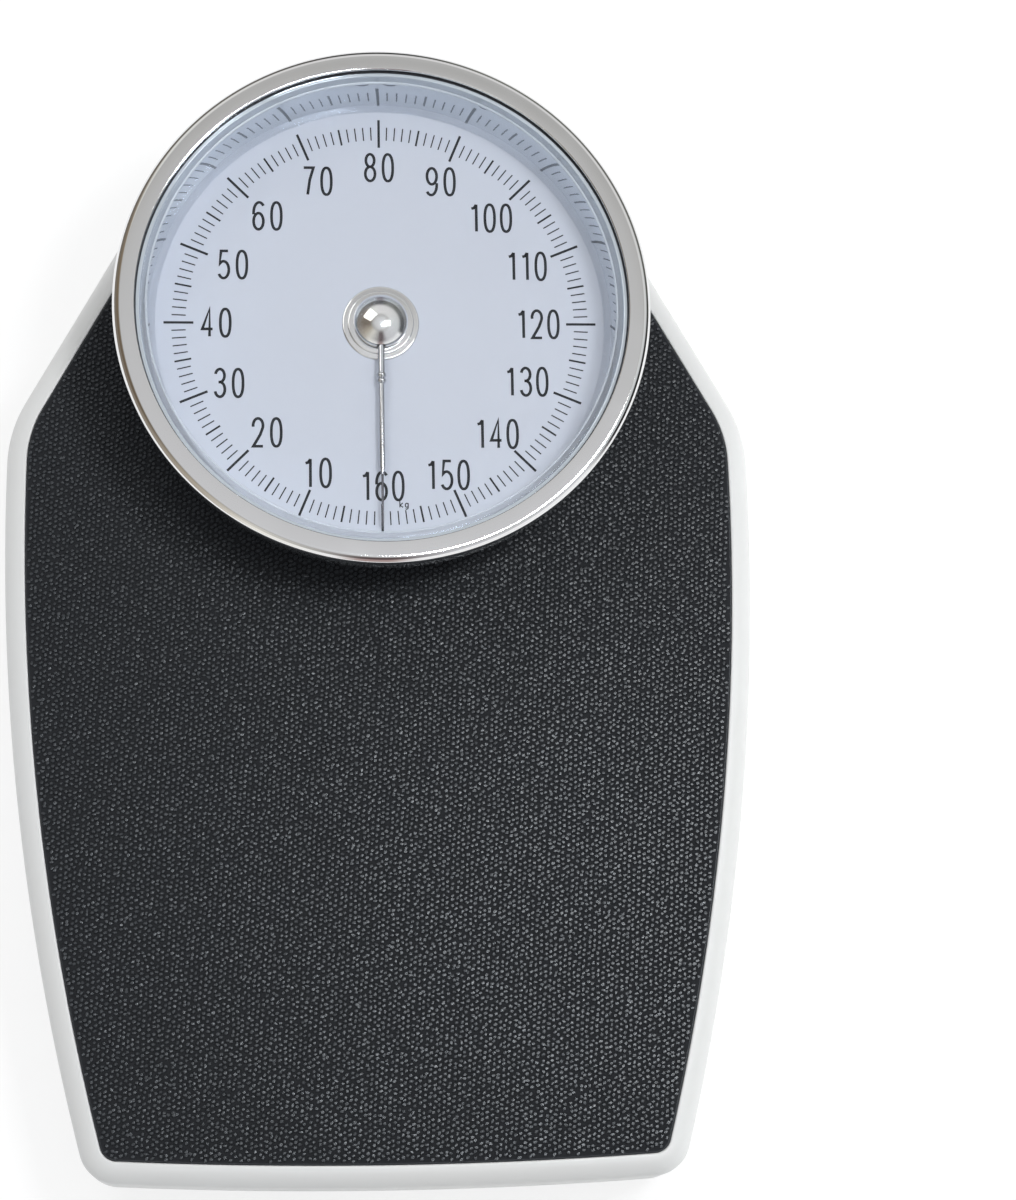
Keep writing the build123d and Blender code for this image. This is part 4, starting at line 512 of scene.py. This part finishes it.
# A figure's width, height and stroke, and the lines that draw it, each with whether it is closed
W, H = 3.75, 11.0
STROKE = 1.08
FIGURES = {
    "0": [(arc(W / 2, H / 2, W / 2, H / 2, 0, 360, 48, 0.86), True)],
    "1": [
        ([(W * 0.66, 0), (W * 0.66, H)], False),
        ([(W * 0.66, H - 0.1), (W * 0.42, H * 0.87), (W * 0.16, H * 0.85)], False),
    ],
    "2": [
        (
            arc(W / 2, H * 0.745, W / 2, H * 0.255, 190, -18, 20)
            + [(W * 0.72, H * 0.42), (W * 0.36, H * 0.2), (W * 0.02, 0.02), (W, 0.02)],
            False,
        )
    ],
    "3": [
        (arc(W / 2, H * 0.765, W * 0.46, H * 0.235, 165, -82, 20) + [(W * 0.36, H * 0.53)], False),
        ([(W * 0.36, H * 0.53)] + arc(W / 2, H * 0.265, W / 2, H * 0.265, 84, -165, 22), False),
    ],
    "4": [([(W * 0.74, 0), (W * 0.74, H), (0, H * 0.27), (W * 1.05, H * 0.27)], False)],
    "5": [
        (
            [(W * 0.92, H), (W * 0.2, H), (W * 0.08, H * 0.53)]
            + arc(W * 0.46, H * 0.31, W * 0.54, H * 0.31, 128, -150, 24),
            False,
        )
    ],
    "6": [
        (arc(W / 2, H * 0.30, W / 2, H * 0.30, 0, 360, 34), True),
        (arc(W * 0.58, H * 0.62, W * 0.58, H * 0.38, 190, 42, 20), False),
    ],
    "7": [([(0, H), (W, H), (W * 0.62, H * 0.55), (W * 0.40, 0)], False)],
    "8": [
        (arc(W / 2, H * 0.765, W * 0.43, H * 0.235, 0, 360, 32), True),
        (arc(W / 2, H * 0.265, W / 2, H * 0.265, 0, 360, 34), True),
    ],
    "9": [
        (arc(W / 2, H * 0.70, W / 2, H * 0.30, 0, 360, 34), True),
        (arc(W * 0.42, H * 0.38, W * 0.58, H * 0.38, 10, -138, 20), False),
    ],
}
# Each labelled value, with the radius at which the middle of its figures stands
LABELS = {
    10: 64.4, 20: 61.6, 30: 62.8, 40: 62.9, 50: 61.2, 60: 61.2, 70: 62.4, 80: 63.4,
    90: 62.6, 100: 60.9, 110: 61.4, 120: 60.6, 130: 60.4, 140: 62.2, 150: 65.2, 160: 64.6,
}


def stroke(bm, points, closed, x0, y0, width):
    """A flat band of even width along the points, with mitred joints."""
    count = len(points)
    if closed:
        points = points[:-1]
        count -= 1
    left, right_side = [], []
    for i, (x, y) in enumerate(points):
        before = points[(i - 1) % count] if closed or i else None
        after = points[(i + 1) % count] if closed or i < count - 1 else None
        dirs = []
        if before:
            dirs.append((x - before[0], y - before[1]))
        if after:
            dirs.append((after[0] - x, after[1] - y))
        dirs = [(dx / hypot(dx, dy), dy / hypot(dx, dy)) for dx, dy in dirs]
        tx, ty = sum(d[0] for d in dirs), sum(d[1] for d in dirs)
        length = hypot(tx, ty)
        tx, ty = tx / length, ty / length
        stretch = min(1 / max(tx * dirs[0][0] + ty * dirs[0][1], 0.3), 2.4)
        ox, oy = -ty * width / 2 * stretch, tx * width / 2 * stretch
        left.append(dial_point(bm, x0 + x + ox, y0 + y + oy))
        right_side.append(dial_point(bm, x0 + x - ox, y0 + y - oy))
    last = count if closed else count - 1
    for i in range(last):
        j = (i + 1) % count
        bm.faces.new((left[i], right_side[i], right_side[j], left[j]))


# From figure to figure in a label of two or three, and how much closer it is beside a 1
ADVANCE = {2: 6.9, 3: 6.35}
TUCK = 0.55
for value, radius in LABELS.items():
    figures = bmesh.new()
    text = str(value)
    offsets = [0.0]
    for one, two in zip(text, text[1:]):
        offsets.append(offsets[-1] + ADVANCE[len(text)] - TUCK * ((one == "1") + (two == "1")))
    middle = (offsets[-1] + W) / 2
    x, y = radius * cos(dial_angle(value)), radius * sin(dial_angle(value))
    for digit, offset in zip(text, offsets):
        for points, closed in FIGURES[digit]:
            stroke(figures, points, closed, x + offset - middle, y - H / 2, STROKE)
    add_piece(f"figure_{value}", raise_print(figures), "base", ink)

# The unit, "kg", as lines from the foot of each letter
UNIT_Y = -73.0
K_X = 6.6
G_X = 8.6
UNIT_STROKE = 0.4
unit = bmesh.new()
for x, points, closed in (
    (K_X, [(0, 0), (0, 2.6)], False),
    (K_X, [(1.1, 1.75), (0.1, 0.85), (1.2, 0)], False),
    (G_X, arc(0.6, 0.85, 0.55, 0.8, 0, 360, 20), True),
    (G_X, [(1.15, 1.7), (1.15, -0.3), (0.6, -0.75), (0.1, -0.5)], False),
):
    stroke(unit, points, closed, x, UNIT_Y, UNIT_STROKE)
add_piece("unit_mark", raise_print(unit), "base", ink)


# Hub dome and pointer
CAP_RADIUS = 10.45
CAP_RISE = 4.4
CAP_FOOT = 70.2
CAP_SHOULDER = 72.0
CAP_SHEET = 0.7
dome_drop = (CAP_RADIUS**2 - CAP_RISE**2) / (2 * CAP_RISE)
dome_radius = dome_drop + CAP_RISE
dome_angle = atan2(CAP_RADIUS, dome_drop) - radians(3.2)
dome_centre = CAP_SHOULDER - dome_drop
dome_turns = [dome_angle * i / 28 for i in range(29)]
dome = [(dome_radius * sin(a), dome_centre + dome_radius * cos(a)) for a in dome_turns]
bend = [(CAP_RADIUS - 0.34, 72.27), (CAP_RADIUS - 0.13, 72.02), (CAP_RADIUS, 71.62), (CAP_RADIUS, 70.35)]
bend += [(CAP_RADIUS - 0.15, CAP_FOOT), (CAP_RADIUS - 0.55, CAP_FOOT), (CAP_RADIUS - CAP_SHEET, 70.35)]
bend += [(CAP_RADIUS - CAP_SHEET, 71.5)]
inner_dome = dome_radius - CAP_SHEET
inner_angle = dome_angle - radians(1.6)
under_turns = [inner_angle * i / 16 for i in range(16, -1, -1)]
under = [(inner_dome * sin(a), dome_centre + inner_dome * cos(a)) for a in under_turns]
hub_dome = add_piece(
    "hub_dome",
    lathe(dome + bend + under, segments=160, closed=False),
    "pointer_set",
    hub_chrome,
    ["pointer_cap"],
)

# A notch in the dome's rim lets the rod through
NOTCH_SIZE = (3.3, 3.0, 4.4)
NOTCH_Z = 70.4
cutter_mesh = bpy.data.meshes.new("rod_notch")
cutter_bm = bmesh.new()
bmesh.ops.create_cube(cutter_bm, size=1.0)
bmesh.ops.scale(cutter_bm, vec=[side * MM for side in NOTCH_SIZE], verts=cutter_bm.verts)
bmesh.ops.translate(cutter_bm, vec=(0, (DIAL_Y - CAP_RADIUS) * MM, NOTCH_Z * MM), verts=cutter_bm.verts)
cutter_bm.to_mesh(cutter_mesh)
cutter_bm.free()
cutter = bpy.data.objects.new("rod_notch", cutter_mesh)
scene.collection.objects.link(cutter)
notch = hub_dome.modifiers.new("notch", "BOOLEAN")
notch.operation = "DIFFERENCE"
notch.solver = "EXACT"
notch.object = cutter
bpy.context.view_layer.update()
cut_dome = bpy.data.meshes.new_from_object(hub_dome.evaluated_get(bpy.context.evaluated_depsgraph_get()))
hub_dome.modifiers.clear()
hub_dome.data = cut_dome
bpy.data.objects.remove(cutter)
bpy.data.meshes.remove(cutter_mesh)

# Rod and needle as profiles of (radius, reach from the dial's axis)
ROD_SIDES = 32
rod_profile = [(0, 0.0), (1.35, 0.0), (1.35, 20.3)]
rod_profile += [(1.35 + 0.55 * sin(pi * i / 10), 20.5 + 2.25 * i / 10) for i in range(11)]
rod_profile += [(1.3 + 0.6 * sin(pi * i / 10) * (1 - i / 60), 22.8 + 2.2 * i / 10) for i in range(11)]
rod_profile += [(1.1, 25.1), (1.1, 58.0), (0.62, 60.2), (0.6, 60.9), (0, 60.9)]
needle_profile = [(0, 60.5), (0.45, 60.5), (0.45, 80.0), (0.1, 81.5), (0, 81.5)]


def turned(profile):
    """Turn a profile of (radius, reach) about the pointer's own line."""
    bm = bmesh.new()
    rings = []
    for radius, reach in profile:
        count = ROD_SIDES if radius else 1
        ring = []
        for k in range(count):
            angle = 2 * pi * k / count
            rise = POINTER_Z + radius * sin(angle)
            ring.append(bm.verts.new((radius * cos(angle) * MM, (DIAL_Y - reach) * MM, rise * MM)))
        rings.append(ring)
    skin(bm, rings)
    return bm


rod = turned(rod_profile)
add_piece("pointer_needle", turned(needle_profile), "pointer_set", needle_dark)
boss_profile = rounded([(1.6, 69.7), (5.5, 69.7), (5.5, 72.9), (1.6, 72.9)], [0, 0.3, 0.5, 0])
boss = lathe(boss_profile, segments=64)
boss_mesh = bpy.data.meshes.new("boss")
boss.to_mesh(boss_mesh)
boss.free()
rod.from_mesh(boss_mesh)
bpy.data.meshes.remove(boss_mesh)
add_piece("pointer_rod", rod, "pointer_set", aluminium, ["pointer"])


# Plan of the platform: arcs and lines of the right side, each point with its outward normal
def side_x(y, inset=0.0):
    return HALF_WIDTH - SIDE_RADIUS + sqrt((SIDE_RADIUS - inset) ** 2 - (y - WIDEST_Y) ** 2)


def front_y(x, inset):
    return FRONT_Y + FRONT_RADIUS - sqrt((FRONT_RADIUS - inset) ** 2 - x**2)


def rear_y(x, inset):
    return REAR_Y - REAR_RADIUS + sqrt((REAR_RADIUS - inset) ** 2 - x**2)


def diagonal_x(y, inset):
    return side_x(SHOULDER_Y) - (y - SHOULDER_Y) * tan(DIAGONAL) - inset / cos(DIAGONAL)


def corner_centre(which, radius):
    """Centre of a corner's arc: where the two sides meet when both are drawn in by its radius."""
    front_x, shoulder_y, rear_x = HALF_WIDTH, SHOULDER_Y, HALF_WIDTH / 2
    for _ in range(60):
        front_x = side_x(front_y(front_x, radius), radius)
        shoulder_y += (diagonal_x(shoulder_y, radius) - side_x(shoulder_y, radius)) / tan(DIAGONAL)
        rear_x = diagonal_x(rear_y(rear_x, radius), radius)
    return {
        "rear": (rear_x, rear_y(rear_x, radius)),
        "shoulder": (side_x(shoulder_y, radius), shoulder_y),
        "front": (front_x, front_y(front_x, radius)),
    }[which]


def away(point, centre):
    return atan2(point[1] - centre[1], point[0] - centre[0])


rear_centre = (0.0, REAR_Y - REAR_RADIUS)
side_centre = (HALF_WIDTH - SIDE_RADIUS, WIDEST_Y)
front_centre = (0.0, FRONT_Y + FRONT_RADIUS)
corner_rear = corner_centre("rear", REAR_CORNER)
corner_shoulder = corner_centre("shoulder", SHOULDER_CORNER)
corner_front = corner_centre("front", FRONT_CORNER)
ARCS = [
    (rear_centre, REAR_RADIUS, pi / 2, away(corner_rear, rear_centre), 22),
    (corner_rear, REAR_CORNER, away(corner_rear, rear_centre), DIAGONAL, 16),
    (corner_shoulder, SHOULDER_CORNER, DIAGONAL, away(corner_shoulder, side_centre), 16),
    (side_centre, SIDE_RADIUS, away(corner_shoulder, side_centre), away(corner_front, side_centre), 64),
    (corner_front, FRONT_CORNER, away(corner_front, side_centre), away(corner_front, front_centre), 18),
    (front_centre, FRONT_RADIUS, away(corner_front, front_centre), -pi / 2, 20),
]
# Each arc starts where the last one ended, but a straight line leads to the shoulder's
half = []
for centre, radius, start, end, steps in ARCS:
    first = 1 if half and centre is not corner_shoulder else 0
    for i in range(first, steps + 1):
        angle = start + (end - start) * i / steps
        half.append((centre[0] + radius * cos(angle), centre[1] + radius * sin(angle), cos(angle), sin(angle)))
PLAN = half + [(-x, y, -nx, ny) for x, y, nx, ny in reversed(half[1:-1])]


def plan_loop(bm, inset, z):
    """Level ring of vertices along the plan, drawn in by an inset."""
    return [bm.verts.new(((x - nx * inset) * MM, (y - ny * inset) * MM, z * MM)) for x, y, nx, ny in PLAN]


def plate(bm, outer, inner):
    """Flat face between an outer loop and a hole."""
    edges = []
    for loop in (outer, inner):
        for i in range(len(loop)):
            pair = (loop[i], loop[(i + 1) % len(loop)])
            edges.append(bm.edges.get(pair) or bm.edges.new(pair))
    bmesh.ops.triangle_fill(bm, use_beauty=True, edges=edges)


def roll(radius, angles):
    """Points of the rolled edge at angles in degrees from its top."""
    return [(ROLL - radius * sin(radians(a)), ROLL_Z + radius * cos(radians(a))) for a in angles]


# Platform: one pressed sheet with a rolled edge, a lip round the mat and a flanged hole.
# Its edge and the mat's are points of (inset, height), and its hole and the mat's of (radius, height).
shell = bmesh.new()
lip = [(8.0, MAT_BOTTOM), (8.0, 50.62), (7.9, 50.85), (7.66, 50.97), (7.3, LIP_TOP)]
lip += roll(ROLL, [7.5 * i for i in range(13)])
lip += [(0.0, 34.0), (0.0, SKIRT_FOOT + 0.3), (0.15, SKIRT_FOOT + 0.05), (SHEET / 2, SKIRT_FOOT)]
lip += [(SHEET - 0.15, SKIRT_FOOT + 0.05), (SHEET, SKIRT_FOOT + 0.3), (SHEET, 34.0)]
lip += roll(ROLL - SHEET, [90 - 11.25 * i for i in range(9)])
lip += [(ROLL, UNDERSIDE)]
lip_loops = [plan_loop(shell, inset, z) for inset, z in lip]
skin(shell, lip_loops)
hole = [(69.7, UNDERSIDE), (69.5, UNDERSIDE - 0.2), (69.5, 43.9), (69.0, 43.8), (68.5, 43.9)]
hole += [(68.5, MAT_BOTTOM - 0.3), (68.8, MAT_BOTTOM)]
hole_loops = [circle_loop(shell, radius, z) for radius, z in hole]
skin(shell, hole_loops)
plate(shell, lip_loops[-1], hole_loops[0])
plate(shell, lip_loops[0], hole_loops[-1])
add_piece("platform_shell", shell, "platform", enamel, ["platform_cover"], sharp=radians(50))

# Mat: a vinyl sheet with a moulded grain on its top
mat = bmesh.new()
edge = [(8.15, MAT_BOTTOM), (8.15, 50.55), (8.25, 50.8), (8.45, 50.95), (8.75, LIP_TOP)]
edge_loops = [plan_loop(mat, inset, z) for inset, z in edge]
skin(mat, edge_loops)
rim = [(71.1, LIP_TOP), (70.8, 50.95), (70.6, 50.8), (MAT_HOLE, 50.55), (MAT_HOLE, MAT_BOTTOM)]
rim_loops = [circle_loop(mat, radius, z) for radius, z in rim]
skin(mat, rim_loops)
plate(mat, edge_loops[-1], rim_loops[0])
plate(mat, edge_loops[0], rim_loops[-1])

# Places of the grains: a slanted, staggered and shaken lattice, cut to the mat

GRAIN_PITCH = 2.1
ROW_SHARE = 0.866
GRAIN_SLANT = radians(27)
GRAIN_INSET = 9.3
GRAIN_SPARE = 1.6
rng = np.random.default_rng(11)
lattice = np.array([
    ((column + 0.5 * (row % 2)) * GRAIN_PITCH, row * GRAIN_PITCH * ROW_SHARE)
    for row in range(-150, 151)
    for column in range(-128, 129)
])
lattice = lattice @ np.array([[cos(GRAIN_SLANT), sin(GRAIN_SLANT)], [-sin(GRAIN_SLANT), cos(GRAIN_SLANT)]])
lattice += rng.normal(0.0, 0.24, lattice.shape)
border = np.array([(x - nx * GRAIN_INSET, y - ny * GRAIN_INSET) for x, y, nx, ny in PLAN])
inside = np.zeros(len(lattice), bool)
for (x0, y0), (x1, y1) in zip(border, np.roll(border, -1, axis=0)):
    if y0 == y1:
        continue
    crosses = (lattice[:, 1] < y0) != (lattice[:, 1] < y1)
    inside ^= crosses & (lattice[:, 0] < (x1 - x0) * (lattice[:, 1] - y0) / (y1 - y0) + x0)
inside &= np.hypot(lattice[:, 0], lattice[:, 1] - DIAL_Y) > MAT_HOLE + GRAIN_SPARE
spots = lattice[inside]
count = len(spots)

# Each grain: a foot ring in the sheet, a leaning ring near its crown and the crown's point. A ring is a
# share of the grain's axes and a rise: millimetres from the sheet's top for the foot, a share of the
# grain's height for the crown.
SIDES = 6
FOOT_RING = (1.0, -0.06)
CROWN_RING = (0.68, 0.94)
long_axis = rng.uniform(0.86, 1.22, count)
short_axis = rng.uniform(0.66, 0.90, count)
heights = rng.uniform(0.50, 0.80, count)
headings = GRAIN_SLANT + rng.normal(0.0, 0.45, count)
tilt = rng.normal(0.0, 0.035, (count, 2))
grain_points = []
for share, rise in (FOOT_RING, CROWN_RING):
    for k in range(SIDES):
        a = 2 * pi * k / SIDES
        along, across = share * long_axis * cos(a), share * short_axis * sin(a)
        dx = along * np.cos(headings) - across * np.sin(headings)
        dy = along * np.sin(headings) + across * np.cos(headings)
        if rise > 0:
            dz = heights * rise + dx * tilt[:, 0] + dy * tilt[:, 1]
        else:
            dz = np.full(count, rise)
        grain_points.append(np.stack([spots[:, 0] + dx, spots[:, 1] + dy, LIP_TOP + dz], axis=1))
grain_points.append(np.stack([spots[:, 0], spots[:, 1], LIP_TOP + heights], axis=1))
grain_points = np.stack(grain_points, axis=1)
grain_points[:, :, 2] = np.minimum(grain_points[:, :, 2], MAT_TOP)
per = 2 * SIDES + 1
template = [(k, (k + 1) % SIDES, SIDES + (k + 1) % SIDES, SIDES + k) for k in range(SIDES)]
template += [(SIDES + k, SIDES + (k + 1) % SIDES, 2 * SIDES) for k in range(SIDES)]
template += [tuple(range(SIDES - 1, -1, -1))]
faces = [tuple(v + per * g for v in face) for g in range(count) for face in template]
grain_mesh = bpy.data.meshes.new("grain")
grain_mesh.from_pydata((grain_points.reshape(-1, 3) * MM).tolist(), [], faces)
mat.from_mesh(grain_mesh)
bpy.data.meshes.remove(grain_mesh)
tread = add_piece("mat", mat, "platform", vinyl, ["tread_mat"], sharp=radians(30))
tread.data.materials.append(valley_painted_shade)

# The sheet between the grains is duller, and painted darker as painted shade between the grains
FLAT_WITHIN = 0.00002
sheet_top = [
    face.normal.z > 0.95 and abs(face.center.z - LIP_TOP * MM) < FLAT_WITHIN for face in tread.data.polygons
]
tread.data.polygons.foreach_set("material_index", np.array(sheet_top, np.int32))


# Springs: the built coils, as pieces of their own
def coil(name, node, body, narrow=1.0, centre=(0, 0)):
    """The built coils of a node, narrowed towards an upright axis."""
    bm = bmesh.new()
    bm.from_mesh(NODES[node].data)
    bm.transform(NODES[node].matrix_world)
    for vert in bm.verts:
        vert.co.x = centre[0] + (vert.co.x - centre[0]) * narrow
        vert.co.y = centre[1] + (vert.co.y - centre[1]) * narrow
    return add_piece(name, bm, body, spring, [node])


weigh_coil = coil("weighing_coil", "main_spring", None)
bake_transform(weigh_coil)
# The return spring is drawn 12 % narrower than it is built: the lever's nose, at full load, reaches
# 0.1 mm into the built one
return_coil = coil("return_coil", "return_spring", "base", narrow=0.88, centre=(-0.006, 0.1387))
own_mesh(return_coil)
hold_coils = coil("hold_down_coils", "hold_down_springs", "base")
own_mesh(hold_coils)


# Floor: it glows where the camera, a mirror or the window sees it, so that it is as white as the photo's
FLOOR_GLOW = 0.74
floor_mesh = bpy.data.meshes.new("floor")
floor_mesh.from_pydata([(-6, -6, 0), (6, -6, 0), (6, 6, 0), (-6, 6, 0)], [], [(0, 1, 2, 3)])
floor = bpy.data.objects.new("floor", floor_mesh)
scene.collection.objects.link(floor)
floor_mat = material("floor", (0.9, 0.9, 0.9), 0.9, Specular_IOR_Level=0.0, Emission_Color=(1, 1, 1, 1))
floor_mesh.materials.append(floor_mat)
floor_tree = floor_mat.node_tree
floor_rays = floor_tree.nodes.new("ShaderNodeLightPath").outputs
seen = combine(floor_mat, "MAXIMUM", floor_rays["Is Camera Ray"], floor_rays["Is Glossy Ray"])
seen = combine(floor_mat, "MAXIMUM", seen, floor_rays["Is Transmission Ray"])
tint(floor_mat, seen, (0.9, 0.9, 0.9), (0.3, 0.3, 0.3))
glow = combine(floor_mat, "MULTIPLY", seen, FLOOR_GLOW)
floor_tree.links.new(glow, floor_tree.nodes["Principled BSDF"].inputs["Emission Strength"])

# World: white to the camera, a room to all that reflects, and an even light to the rest
world = bpy.data.worlds.new("studio")
scene.world = world
world.use_nodes = True
tree = world.node_tree
for node in list(tree.nodes):
    tree.nodes.remove(node)
output = tree.nodes.new("ShaderNodeOutputWorld")


def ramp_node(stops):
    """Colour ramp through stops of (position, colour)."""
    node = tree.nodes.new("ShaderNodeValToRGB")
    elements = node.color_ramp.elements
    elements[0].position, elements[1].position = stops[0][0], stops[-1][0]
    elements[0].color, elements[1].color = (*stops[0][1], 1), (*stops[-1][1], 1)
    for position, colour in stops[1:-1]:
        elements.new(position).color = (*colour, 1)
    return node


def background(colour, strength):
    node = tree.nodes.new("ShaderNodeBackground")
    node.inputs["Color"].default_value = (*colour, 1)
    node.inputs["Strength"].default_value = strength
    return node


def blend(factor, first, second):
    node = tree.nodes.new("ShaderNodeMixShader")
    tree.links.new(factor, node.inputs["Fac"])
    tree.links.new(first, node.inputs[1])
    tree.links.new(second, node.inputs[2])
    return node.outputs[0]


# The room: its ceiling by height, and its two lower bands by heading
OVERHEAD = (
    (0.86, (0.42, 0.42, 0.41)),
    (0.915, (0.42, 0.42, 0.41)),
    (0.930, (0.50, 0.495, 0.485)),
    (0.945, (0.565, 0.565, 0.565)),
    (0.965, (0.62, 0.62, 0.63)),
    (1.0, (0.66, 0.665, 0.68)),
)
HALFWAY = (
    (0.00, (0.15, 0.115, 0.08)),
    (0.08, (0.44, 0.39, 0.31)),
    (0.14, (0.70, 0.68, 0.62)),
    (0.20, (0.45, 0.44, 0.42)),
    (0.24, (0.10, 0.07, 0.07)),
    (0.27, (0.10, 0.07, 0.07)),
    (0.32, (0.58, 0.58, 0.60)),
    (0.42, (0.62, 0.63, 0.65)),
    (0.50, (0.62, 0.65, 0.655)),
    (0.62, (0.72, 0.72, 0.71)),
    (0.76, (0.78, 0.77, 0.77)),
    (0.835, (0.80, 0.80, 0.76)),
    (0.875, (0.26, 0.21, 0.155)),
    (0.91, (0.20, 0.155, 0.105)),
    (0.955, (0.16, 0.12, 0.08)),
    (1.0, (0.15, 0.115, 0.08)),
)
AROUND = (
    (0.00, (0.23, 0.195, 0.155)),
    (0.10, (0.46, 0.41, 0.34)),
    (0.15, (0.95, 0.92, 0.84)),
    (0.215, (1.0, 1.0, 1.0)),
    (0.235, (0.42, 0.31, 0.29)),
    (0.262, (0.42, 0.31, 0.29)),
    (0.285, (1.0, 1.0, 1.0)),
    (0.43, (1.0, 1.0, 1.0)),
    (0.46, (0.02, 0.02, 0.02)),
    (0.53, (0.03, 0.03, 0.03)),
    (0.57, (0.12, 0.12, 0.11)),
    (0.70, (0.20, 0.20, 0.18)),
    (0.74, (0.05, 0.05, 0.05)),
    (0.80, (0.14, 0.13, 0.12)),
    (0.92, (0.19, 0.165, 0.135)),
    (1.0, (0.23, 0.195, 0.155)),
)
coords = tree.nodes.new("ShaderNodeTexCoord")
split = tree.nodes.new("ShaderNodeSeparateXYZ")
heading = tree.nodes.new("ShaderNodeTexGradient")
heading.gradient_type = "RADIAL"
tree.links.new(coords.outputs["Generated"], split.inputs[0])
tree.links.new(coords.outputs["Generated"], heading.inputs["Vector"])


def room_part(stops, value):
    """What metal sees in one part of the room."""
    ramp = ramp_node(stops)
    tree.links.new(value, ramp.inputs["Fac"])
    part = background((1, 1, 1), 1.0)
    tree.links.new(ramp.outputs["Color"], part.inputs["Color"])
    return part.outputs[0]


def above(low, high):
    """0 below one height, 1 above the other."""
    node = tree.nodes.new("ShaderNodeMapRange")
    node.inputs["From Min"].default_value = low
    node.inputs["From Max"].default_value = high
    tree.links.new(split.outputs["Z"], node.inputs["Value"])
    return node.outputs["Result"]


around = room_part(AROUND, heading.outputs["Fac"])
halfway = room_part(HALFWAY, heading.outputs["Fac"])
sides = blend(above(0.48, 0.60), around, halfway)
room = blend(above(0.86, 0.92), sides, room_part(OVERHEAD, split.outputs["Z"]))
path = tree.nodes.new("ShaderNodeLightPath")
lit = blend(path.outputs["Is Glossy Ray"], background((0.97, 0.985, 1.0), 0.60).outputs[0], room)
sight = blend(path.outputs["Is Camera Ray"], lit, background((1, 1, 1), 1.0).outputs[0])
tree.links.new(sight, output.inputs["Surface"])


def lamp(name, where, target, size, watts, colour=(1, 1, 1)):
    """Area lamp at a place, turned to a target."""
    data = bpy.data.lights.new(name, "AREA")
    data.shape = "RECTANGLE"
    data.size, data.size_y = size
    data.energy = watts
    data.color = colour
    light = bpy.data.objects.new(name, data)
    light.location = where
    light.rotation_euler = (Vector(target) - Vector(where)).to_track_quat("-Z", "Y").to_euler()
    scene.collection.objects.link(light)
    return light


# The key lamp above the right, a sheen that only gloss sees, a soft fill from the rear left and a low
# lamp at the right that lights the rolled edge there
lamp("key", (0.5, 0.1, 1.35), (0.03, 0, 0), (0.30, 0.30), 7.0, (0.97, 0.985, 1.0))
sheen = lamp("sheen", (0.20, -0.01, 1.35), (0.05, -0.1, 0), (0.20, 0.18), 5.2, (0.88, 0.94, 1.0))
sheen.visible_diffuse = False
fill = lamp("fill", (-0.9, 0.9, 1.5), (0, 0, 0), (0.9, 0.9), 6.0, (1.0, 0.99, 0.97))
fill.visible_glossy = False
side = lamp("side", (1.35, -0.05, 0.17), (0.1, -0.05, 0.04), (0.8, 0.2), 5.6, (0.97, 1.0, 0.99))
side.visible_glossy = False
side.visible_camera = False
